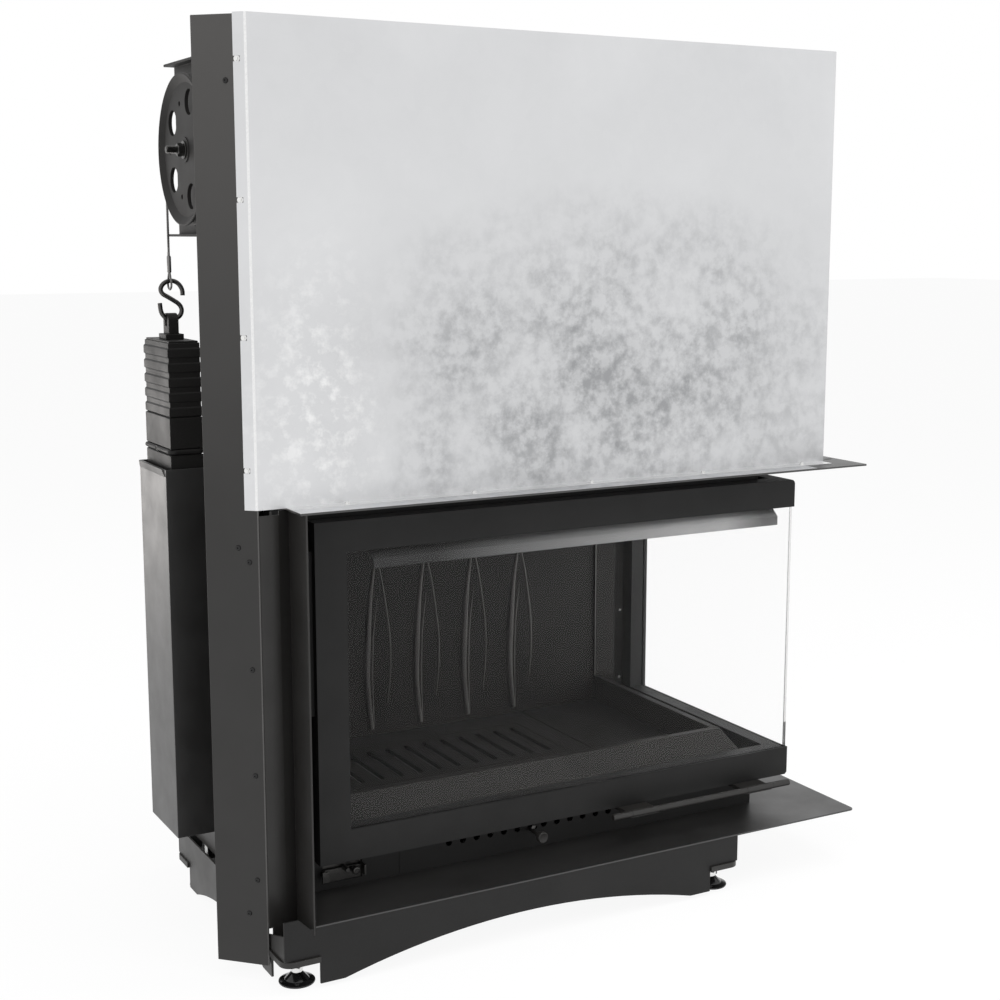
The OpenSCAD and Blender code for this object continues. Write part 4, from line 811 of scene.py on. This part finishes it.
def hexagon(name, start, end, across):
    """A hexagon nut or head whose corners are turned down at both ends"""
    height = (Vector(end) - Vector(start)).length
    corner = across/math.sqrt(3)
    let_go()
    bpy.ops.mesh.primitive_cylinder_add(vertices=6, radius=corner/1000, depth=height/1000,
                                        location=(0, 0, height/2000))
    nut = settle(named(name))
    blank = turned(name + "_blank", [
        (0, 0), (across*0.47, 0), (corner + 0.3, height*0.2), (corner + 0.3, height*0.8),
        (across*0.47, height), (0, height)])
    common = nut.modifiers.new("turned corners", "BOOLEAN")
    common.operation = "INTERSECT"
    common.solver = "EXACT"
    common.object = blank
    apply_all(nut)
    bpy.data.objects.remove(blank)
    hold(nut)
    bpy.ops.object.shade_smooth_by_angle(angle=math.radians(25))
    return pointed(nut, start, Vector(end) - Vector(start))


def strands(line, twist, count=6, wire_d=4.0):
    """A cable's strands along an even line of points in metres; twist is one turn's millimetres"""
    out = [[] for _ in range(count)]
    side = Vector((0, 1, 0)) if abs((line[1] - line[0]).normalized().y) < 0.9 else Vector((1, 0, 0))
    run = 0.0
    for i, point in enumerate(line):
        ahead = line[min(i + 1, len(line) - 1)] - line[max(i - 1, 0)]
        ahead.normalize()
        side = (side - ahead*side.dot(ahead)).normalized()
        other = ahead.cross(side)
        if i:
            run += (point - line[i - 1]).length*1000
        for k in range(count):
            angle = 2*math.pi*(run/twist + k/count)
            out[k].append(point + (side*math.cos(angle) + other*math.sin(angle))*wire_d/3000)
    return out


def cable(name, line):
    """A stranded cable along an even line of points in metres"""
    core = wire(name + "_core", [line], 1.0, 1)
    skin = wire(name + "_strands", strands(line, 26), 0.68, 1)
    return joined(name, skin, core)


def straight_line(start, end, step=0.0022):
    """Even points between two places in metres"""
    count = max(2, int((end - start).length/step))
    return [start.lerp(end, i/count) for i in range(count + 1)]


# The door's cables shorten and the weights' cables lengthen as the door rises
door_runs, weight_runs, wraps = [], {}, []
for side in ("left", "rear"):
    door_runs.append(cable("door_cable_" + side, straight_line(
        at_lift(side, -WRAP, 0, PULLEY_Z), at_lift(side, -WRAP, 0, DOOR_END))))
    weight_runs[side] = cable("weight_cable_" + side, straight_line(
        at_lift(side, WRAP, 0, PULLEY_Z), at_lift(side, WRAP, 0, WEIGHT_END)))
    turn = [at_lift(side, -WRAP*math.cos(t), 0, PULLEY_Z + WRAP*math.sin(t))
            for t in (math.pi*i/160 for i in range(161))]
    wraps.append(cable("wrapped_cable_" + side, turn))
fit(joined("wrapped_cables", *wraps), CABLE, "pulley_cables")
door_cables = joined("door_cable_pair", *door_runs)
dress(door_cables, CABLE)
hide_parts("door_cables")
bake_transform(door_cables)
for side, run in weight_runs.items():
    dress(run, CABLE)
    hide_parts("weight_cables")
    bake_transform(run)


# The S hook's line as (sideways, height) pairs, in millimetres from the cable and the floor
HOOK_LINE = [(21.3, 1098.5), (21.2, 1105), (19.4, 1111), (16.0, 1116.4), (11.2, 1120.4),
             (4.6, 1122.7), (-3.0, 1122.2), (-10.2, 1118.6), (-14.8, 1112.8), (-15.5, 1106.6),
             (-12.0, 1101.2), (-6, 1097.6), (0.6, 1093.7), (7, 1089.7), (13.0, 1085.6),
             (17.4, 1080.2), (18.9, 1073.6), (16.9, 1066.8), (11.2, 1061.8), (3.4, 1059.2),
             (-5.2, 1060.4), (-12.2, 1065.4), (-16.4, 1073.4), (-18.0, 1086.6)]


def hook_and_eye():
    """The S hook, the stranded eye it hangs in, and the eye's sleeve with the cable's cut tail"""
    hook = wire("hook", [rounded_path([mm(WRAP, -h, z) for h, z in HOOK_LINE], 5)], 3.8, 6)
    eased(hook, 0.8, 2, 50)
    loop = [(0, 1139.5), (2.2, 1136), (5.4, 1129), (8.6, 1121), (9.2, 1116), (6.8, 1111.6),
            (0, 1108.6), (-6.8, 1111.6), (-9.2, 1116), (-8.6, 1121), (-5.4, 1129), (-2.2, 1136),
            (0, 1139.5)]
    loop = [mm(WRAP + h, 0, z) for h, z in loop]
    eye = wire("eye", strands(rounded_path(loop, 7), 20, 6, 3.4), 0.62, 1)
    eye_core = wire("eye_core", [rounded_path(loop, 4)], 1.1, 2)
    sleeve = turned("sleeve", [(0, 0), (2.6, 0), (3.5, 1.4), (3.5, 26), (2.7, 28), (0, 28)],
                   (WRAP, 0, 1136), (0, 0, 1), 40)
    tail = wire("tail", [straight_line(mm(WRAP + 2.2, 0, 1160), mm(WRAP + 2.6, 0, 1170))], 1.7, 3)
    return hook, joined("cable_eye", eye, eye_core), joined("cable_sleeve", sleeve, tail)


hook, eye, sleeve = hook_and_eye()
for side, twin in both_sides(hook, "s_hook").items():
    fit(twin, DARK_STEEL, "hook_" + side)
for side, twin in both_sides(eye, "cable_eye").items():
    fit(twin, CABLE, body="weight_" + side, slot="cable")
for side, twin in both_sides(sleeve, "cable_sleeve").items():
    fit(twin, STEEL, body="weight_" + side, slot="steel")


def stepped_block(name, levels):
    """A block drawn out upwards: (half length, half width, height) at each level"""
    a, b, z = levels[0]
    let_go()
    bpy.ops.mesh.primitive_plane_add(size=2, location=mm(WRAP, 0, z))
    piece = named(name)
    piece.scale = (a/1000, b/1000, 1)
    settle(piece)
    bpy.ops.object.mode_set(mode="EDIT")
    bpy.ops.mesh.select_all(action="SELECT")
    for (a0, b0, z0), (a1, b1, z1) in zip(levels, levels[1:]):
        bpy.ops.mesh.extrude_region_move(TRANSFORM_OT_translate={"value": (0, 0, (z1 - z0)/1000)})
        bpy.ops.transform.resize(value=(a1/a0, b1/b0, 1), center_override=mm(WRAP, 0, z1))
    bpy.ops.mesh.select_all(action="SELECT")
    bpy.ops.mesh.normals_make_consistent(inside=False)
    bpy.ops.object.mode_set(mode="OBJECT")
    return piece


def counterweight():
    """Two blocks with a groove between them, five slabs, a top plate, and a lug for the hook"""
    a, b = WEIGHT_HALF
    low = stepped_block("low_block", [
        (a - 1.5, b - 1.5, 750), (a, b, 751.5), (a, b, 838.5), (a - 1.5, b - 1.5, 840),
        (a - 7, b - 6, 840.4), (a - 7, b - 6, 849.6), (a - 1.5, b - 1.5, 850), (a, b, 851.5),
        (a, b, 900.5), (a - 1.5, b - 1.5, 902), (a - 3, b - 3, 902.2), (a - 3, b - 3, 903)])
    slabs = [(a - 2, b - 2, 902.9)]
    for i in range(5):
        z = SLABS_FROM + i*SLAB_PITCH
        slabs += [(a - 1.3, b - 1.3, z + 0.6), (a, b, z + 1.8), (a, b, z + 13.4),
                  (a - 0.5, b - 0.5, z + 14.6), (a - 2.0, b - 2.0, z + 16.4),
                  (a - 2.0, b - 2.0, z + 23.6)]
    slabs += [(a - 2.4, b - 2.4, 1024)]
    stack = stepped_block("slab_stack", slabs)
    plate = stepped_block("top_plate", [(a - 4, b - 4, 1023.9), (a - 4, b - 4, 1026.4),
                                        (a - 4.6, b - 4.6, 1027)])
    for part in (low, stack, plate):
        eased(part, 0.8, 2, 50, 30)
    foot = block("lug_foot", (WRAP - 19.5, -15.5, 1027), (WRAP + 19.5, 15.5, 1036))
    eased(foot, 1.0, 2)
    lug = block("lug", (WRAP - 15, -8.5, 1036), (WRAP + 15, 8.5, 1070))
    pick_edges(lug, lambda p, q: p.z > 1069 and q.z > 1069 and abs(p.x - q.x) < 1)
    bpy.ops.mesh.bevel(offset=0.0125, segments=8, affect="EDGES")
    done_editing()
    slot = block("lug_slot", (WRAP - 5, -20, 1049), (WRAP + 5, 20, 1063))
    cut = lug.modifiers.new("slot for the hook", "BOOLEAN")
    cut.operation = "DIFFERENCE"
    cut.solver = "EXACT"
    cut.object = slot
    apply_all(lug)
    bpy.data.objects.remove(slot)
    eased(lug, 0.7, 2, 40)
    return joined("counterweight", low, stack, plate, foot, lug)


def ring_rod():
    """Rod bent round the groove of the weight, its two ends side by side"""
    a, b = RING_HALF
    corner = [(a - 14, b), (a - 5, b), (a, b - 5), (a, b - 14)]
    bends = [(sx*x, sy*y) for sx, sy, way in ((1, 1, 1), (1, -1, -1), (-1, -1, 1), (-1, 1, -1))
             for x, y in corner[::way]]
    line = [mm(WRAP + x, y, GROOVE_Z) for x, y in [(10, b)] + bends + [(2, b)]]
    rods = wire("rods", [rounded_path(line, 6)], RING_R, 5)
    end = rod("rod_end", (WRAP + a - 8, b, GROOVE_Z), (WRAP + a + RING_R, b, GROOVE_Z), RING_R, 20)
    eased(end, 1.2, 2)
    clip = block("rod_clip", (WRAP + 0.5, b - 4, 840.6), (WRAP + 11, b + 3.4, 849.6))
    eased(clip, 1.0, 2)
    return joined("ring_rod", rods, end), clip


for side, twin in both_sides(counterweight(), "counterweight").items():
    fit(twin, WEIGHT_PAINT, "weight_" + side)
rods, clip = ring_rod()
for side, twin in both_sides(rods, "ring_rod").items():
    fit(twin, WEIGHT_PAINT, body="weight_" + side, slot="weight_paint")
for side, twin in both_sides(clip, "ring_clip").items():
    fit(twin, HEATPROOF, body="weight_" + side, slot="weight_paint")


def pulley_axle():
    """Stud through the pulley, with a nut and washer outside, a spacer and a nut behind"""
    end = threaded_rod("axle_end", (0, 14, PULLEY_Z), (0, 34, PULLEY_Z), 5.9, 1.5)
    shank = rod("shank", (0, -39.5, PULLEY_Z), (0, 16, PULLEY_Z), 5.98, 40)
    nut = hexagon("axle_nut", (0, 6.6, PULLEY_Z), (0, 16.4, PULLEY_Z), 18)
    washer = turned("washer", [(6.3, 0), (13.6, 0), (14, 0.4), (14, 1.7), (13.6, 2), (6.3, 2),
                               (6.3, 0)], (0, 4.6, PULLEY_Z), (0, 1, 0), 56)
    spacer = turned("spacer", [(6.1, 0), (9.4, 0), (10, 0.6), (10, 24), (9.4, 24.6), (6.1, 24.6),
                               (6.1, 0)], (0, -35, PULLEY_Z), (0, 1, 0), 48)
    back_nut = hexagon("back_nut", (0, -46, PULLEY_Z), (0, -39.2, PULLEY_Z), 18)
    return joined("axle", end, shank, nut, washer, spacer, back_nut)


axles = both_sides(pulley_axle(), "pulley_axle")
fit(joined("pulley_axle_set", *axles.values()), DARK_STEEL, "pulley_axles")


def channel_lip():
    """Folded lip on the left channel's outer sheet: its top leans out and is cut at a slant"""
    lip = block("channel_lip", (-626.9, -74.4, 806.5), (-623.4, 71.6, 818))
    pick(lip, lambda centre, normal: normal.x < -0.9)
    bpy.ops.transform.resize(value=(1, 0.95, 1))
    done_editing()
    for corner in lip.data.vertices:
        if corner.co.z > 0.817:
            corner.co.x -= 0.0016
            if corner.co.y < 0:
                corner.co.y += 0.010
    return eased(lip, 0.8, 2)


fit(channel_lip(), SATIN, body="frame", slot="frame_paint")

# Feet, screws and rivets


def levelling_foot(x, y):
    """The moulded disc and cone, and the nut, collar and stud that stand in it"""
    base = turned("foot_base", [(0, 0), (27.5, 0), (29.4, 0.8), (30, 2.2), (29.6, 3.6), (27.6, 4.6),
                               (21.5, 6.0), (20.2, 6.4), (19.4, 7.6), (10.6, 16.6), (9.4, 17.8),
                               (0, 18)], (x, y, 0), (0, 0, 1), 72)
    nut = hexagon("foot_nut", (x, y, 17.8), (x, y, 26.6), 17.5)
    collar = turned("foot_collar", [(0, 0), (7.4, 0), (7.4, 2.4), (6.6, 3.2), (0, 3.2)],
                   (x, y, 26.4), (0, 0, 1), 40)
    stud = threaded_rod("foot_stud", (x, y, 27), (x, y, 84), 6)
    return base, joined("foot_stem", nut, collar, stud)


FOOT_PLACES = (("front_left", -507.5, -308.5), ("front_right", 318, -308.5),
               ("rear_left", -507.5, 145.5), ("rear_right", 318, 145.5))
for place, x, y in FOOT_PLACES:
    base, stem = levelling_foot(x, y)
    base.name = "foot_base_" + place
    stem.name = "foot_stem_" + place
    fit(stem, ZINC, "foot_" + place)
    fit(base, GLOSS_BLACK, body="foot_" + place, slot="frame_paint")


def screw_head():
    """A flanged hexagon head, drawn on the floor at the origin"""
    skirt = turned("screw_skirt", [(0, 0), (4.8, 0), (5.0, 0.3), (4.9, 0.8), (3.7, 1.3), (0, 1.4)],
                  (0, 0, 0), (0, 0, 1), 32)
    head = hexagon("screw_hexagon", (0, 0, 0.9), (0, 0, 4.4), 6.4)
    return joined("screw_head", skirt, head)


def turned_to(normal, place):
    """Takes a head drawn on the floor to a place in millimetres on a face with this normal"""
    quat = Vector(normal).to_track_quat("Z", "Y")
    return Matrix.Translation(mm(*place)) @ quat.to_matrix().to_4x4()


SLANT = (-0.7071, -0.7071, 0)
FLANGE_SCREWS_X = (-404.5, -177.5, 50.5, 284.5, 507.5)
EDGE_SCREWS_Z = (1455.9, 1250, 1043.3, 838.9)
REAR_RIVETS_Z = (387, 235)
# How far each rivet of the left post stands from the corner, and its height
POST_RIVETS = ((33.7, 1425), (33, 717), (14.9, 695), (14.5, 522), (13.9, 348), (15.2, 173),
               (30.7, 115))


def on_slant(distance, z):
    """A point of the left post's slanted face, at a distance from its corner in millimetres"""
    reach = distance/math.sqrt(2)
    return (POST_CORNER[0] - reach, POST_CORNER[1] + reach, z)


head = screw_head()
heads = [copied(head, "flange_screw", turned_to((0, 0, 1), (x, -305.5, 778.4)))
         for x in FLANGE_SCREWS_X]
heads += [copied(head, "edge_screw", turned_to(SLANT, on_slant(14.5, z))) for z in EDGE_SCREWS_Z]
bpy.data.objects.remove(head)
fit(joined("zinc_screw_heads", *heads), ZINC, "zinc_screws")

rivet = turned("rivet", [(0, 1.0), (0.9, 1.0), (1.25, 2.3), (2.4, 2.35), (3.7, 1.6), (4.5, 0.2),
                        (4.5, -0.4), (0, -0.4)], (0, 0, 0), (0, 0, 1), 28)
heads = [copied(rivet, "post_rivet", turned_to(SLANT, on_slant(d, z))) for d, z in POST_RIVETS]
small = Matrix.Diagonal((0.75, 0.75, 0.75, 1))
rear_heads = [copied(rivet, "rear_rivet", turned_to((0, -1, 0), (489.5, 273.5, z)) @ small)
              for z in REAR_RIVETS_Z]
bpy.data.objects.remove(rivet)
fit(joined("rivet_heads", *heads), RIVET_BLACK, "post_rivets", slot="frame_paint")
fit(joined("rear_rivet_heads", *rear_heads), ZINC, "post_rivets", slot="frame_paint")

# Knob, handle and latch

KNOB_PLACE = (-24.5, -220.5, 143)
HANDLE_START = (104.5, -301.5, 166)

knob = turned("knob", [(0, 0), (3, 0), (3, 44), (8.4, 44), (9.6, 44.6), (10, 46), (10, 54.4),
                      (9.5, 55.4), (8.4, 56), (7.6, 55.6), (0, 55.3)],
              KNOB_PLACE, (0, -1, 0), 56)
fit(knob, SATIN, "air_knob")

handle = turned("handle", [
    (0, 0), (5.1, 0), (6, 0.9), (6, 39.3), (5.6, 39.6), (5.6, 40.4), (4, 40.6), (4, 99.4),
    (5.6, 99.6), (5.6, 100.4), (6, 100.7), (6, 297.3), (5.6, 297.6), (5.6, 298.4), (4, 298.6),
    (4, 357.4), (5.6, 357.6), (5.6, 358.4), (6, 358.7), (6, 397.1), (5.1, 398), (0, 398),
], HANDLE_START, (1, 0, 0), 48)
fit(handle, SATIN, "handle_bar")


def latch():
    """Slide of the cleaning latch: a bar with a tab at each end, a stud and a knob"""
    plate = block("latch_plate", (-432.5, -220.5, 112), (-344.5, -217.4, 164))
    bar = block("latch_bar", (-424, -228, 133), (-354, -224, 143))
    left_tab = block("left_tab", (-431, -240, 126), (-419, -236.5, 145))
    left_arm = block("left_arm", (-427, -238, 133), (-423, -220, 141))
    right_tab = block("right_tab", (-356, -243, 128), (-352.6, -220, 146))
    stud = turned("latch_stud", [(0, 0), (4.2, 0), (4.2, 15), (3.4, 16), (0, 16)],
                  (-386, -226, 142), (0, -1, 0), 32)
    knob_neck = turned("latch_knob", [(0, 0), (3, 0), (3, 8), (6.2, 8.4), (7, 9.4), (7, 16),
                                      (6.2, 17), (4.6, 17.2), (4, 16.4), (0, 16.4)],
                       (-370, -226, 138), (0, -1, 0), 40)
    for part in (plate, bar, left_tab, left_arm, right_tab):
        eased(part, 0.5, 2)
    return joined("latch_slide", plate, bar, left_tab, left_arm, right_tab, stud, knob_neck)


fit(latch(), DARK_STEEL, "cleaning_latch")

# Camera, floor and light

# The photo's camera, in metres and degrees, as solved from the object's straight lines
CAMERA_PLACE = (-1.4095, -2.6315, 1.202)
CAMERA_TILT = 80.608
CAMERA_TURN = -28.838
LENS = 58.26

bpy.ops.object.camera_add(location=CAMERA_PLACE,
                          rotation=(math.radians(CAMERA_TILT), 0, math.radians(CAMERA_TURN)))
camera = bpy.context.object
camera.data.lens = LENS
camera.data.sensor_width = 36
bpy.context.scene.camera = camera
bpy.context.scene.view_settings.view_transform = "Standard"


def lamp(name, place, aim, size, power, colour=(1, 1, 1), glossy=False):
    """A soft panel, size in metres and power in watts, which shows in mirrors only if glossy"""
    bpy.ops.object.light_add(type="AREA", location=place)
    light = bpy.context.object
    light.name = name
    light.data.shape = "RECTANGLE"
    light.data.size, light.data.size_y = size
    light.data.energy = power
    light.data.color = colour
    light.rotation_euler = (Vector(aim) - Vector(place)).to_track_quat("-Z", "Y").to_euler()
    light.visible_glossy = glossy


lamp("left_back_panel", (-2.3, 3.0, 0.45), (-0.5, -0.1, 0.45), (2.6, 0.9), 20, (1.0, 0.955, 0.92),
     glossy=True)
lamp("left_front_panel", (-3.2, -2.2, 3.0), (-0.4, -0.2, 0.9), (2.0, 2.0), 70)
lamp("top_panel", (0.4, -0.6, 4.2), (0, 0, 0.6), (3.0, 3.0), 90)
lamp("right_panel", (3.2, -1.6, 1.6), (0.2, 0, 0.7), (1.6, 2.2), 50)

world = bpy.data.worlds.new("studio")
bpy.context.scene.world = world
world.use_nodes = True
sky = world.node_tree
glow = sky.nodes["Background"]
glow.inputs["Color"].default_value = (1, 1, 1, 1)
level = sky.nodes.new("ShaderNodeMapRange")
sky.links.new(any_ray(sky, SEEN_RAYS), level.inputs["Value"])
# It lights the part at under half the strength it is seen at
level.inputs["To Min"].default_value = 0.45
level.inputs["To Max"].default_value = 1.0
sky.links.new(level.outputs["Result"], glow.inputs["Strength"])


def studio_floor():
    """Plain pale floor: nearly white where it is seen, and it keeps the part's shadow"""
    let_go()
    bpy.ops.mesh.primitive_plane_add(size=60)
    floor = named("studio_floor")
    f = Finish("pale_floor", roughness=0.9, shine=0.1, colour=(0.86, 0.86, 0.86))
    glowing = f.tree.nodes.new("ShaderNodeEmission")
    glowing.inputs["Strength"].default_value = 1.02
    share = f.sums("MULTIPLY", any_ray(f.tree, SEEN_RAYS), 0.9)
    f.mixed_surface(share, f.shader.outputs[0], glowing.outputs[0])
    dress(floor, f.material)


studio_floor()
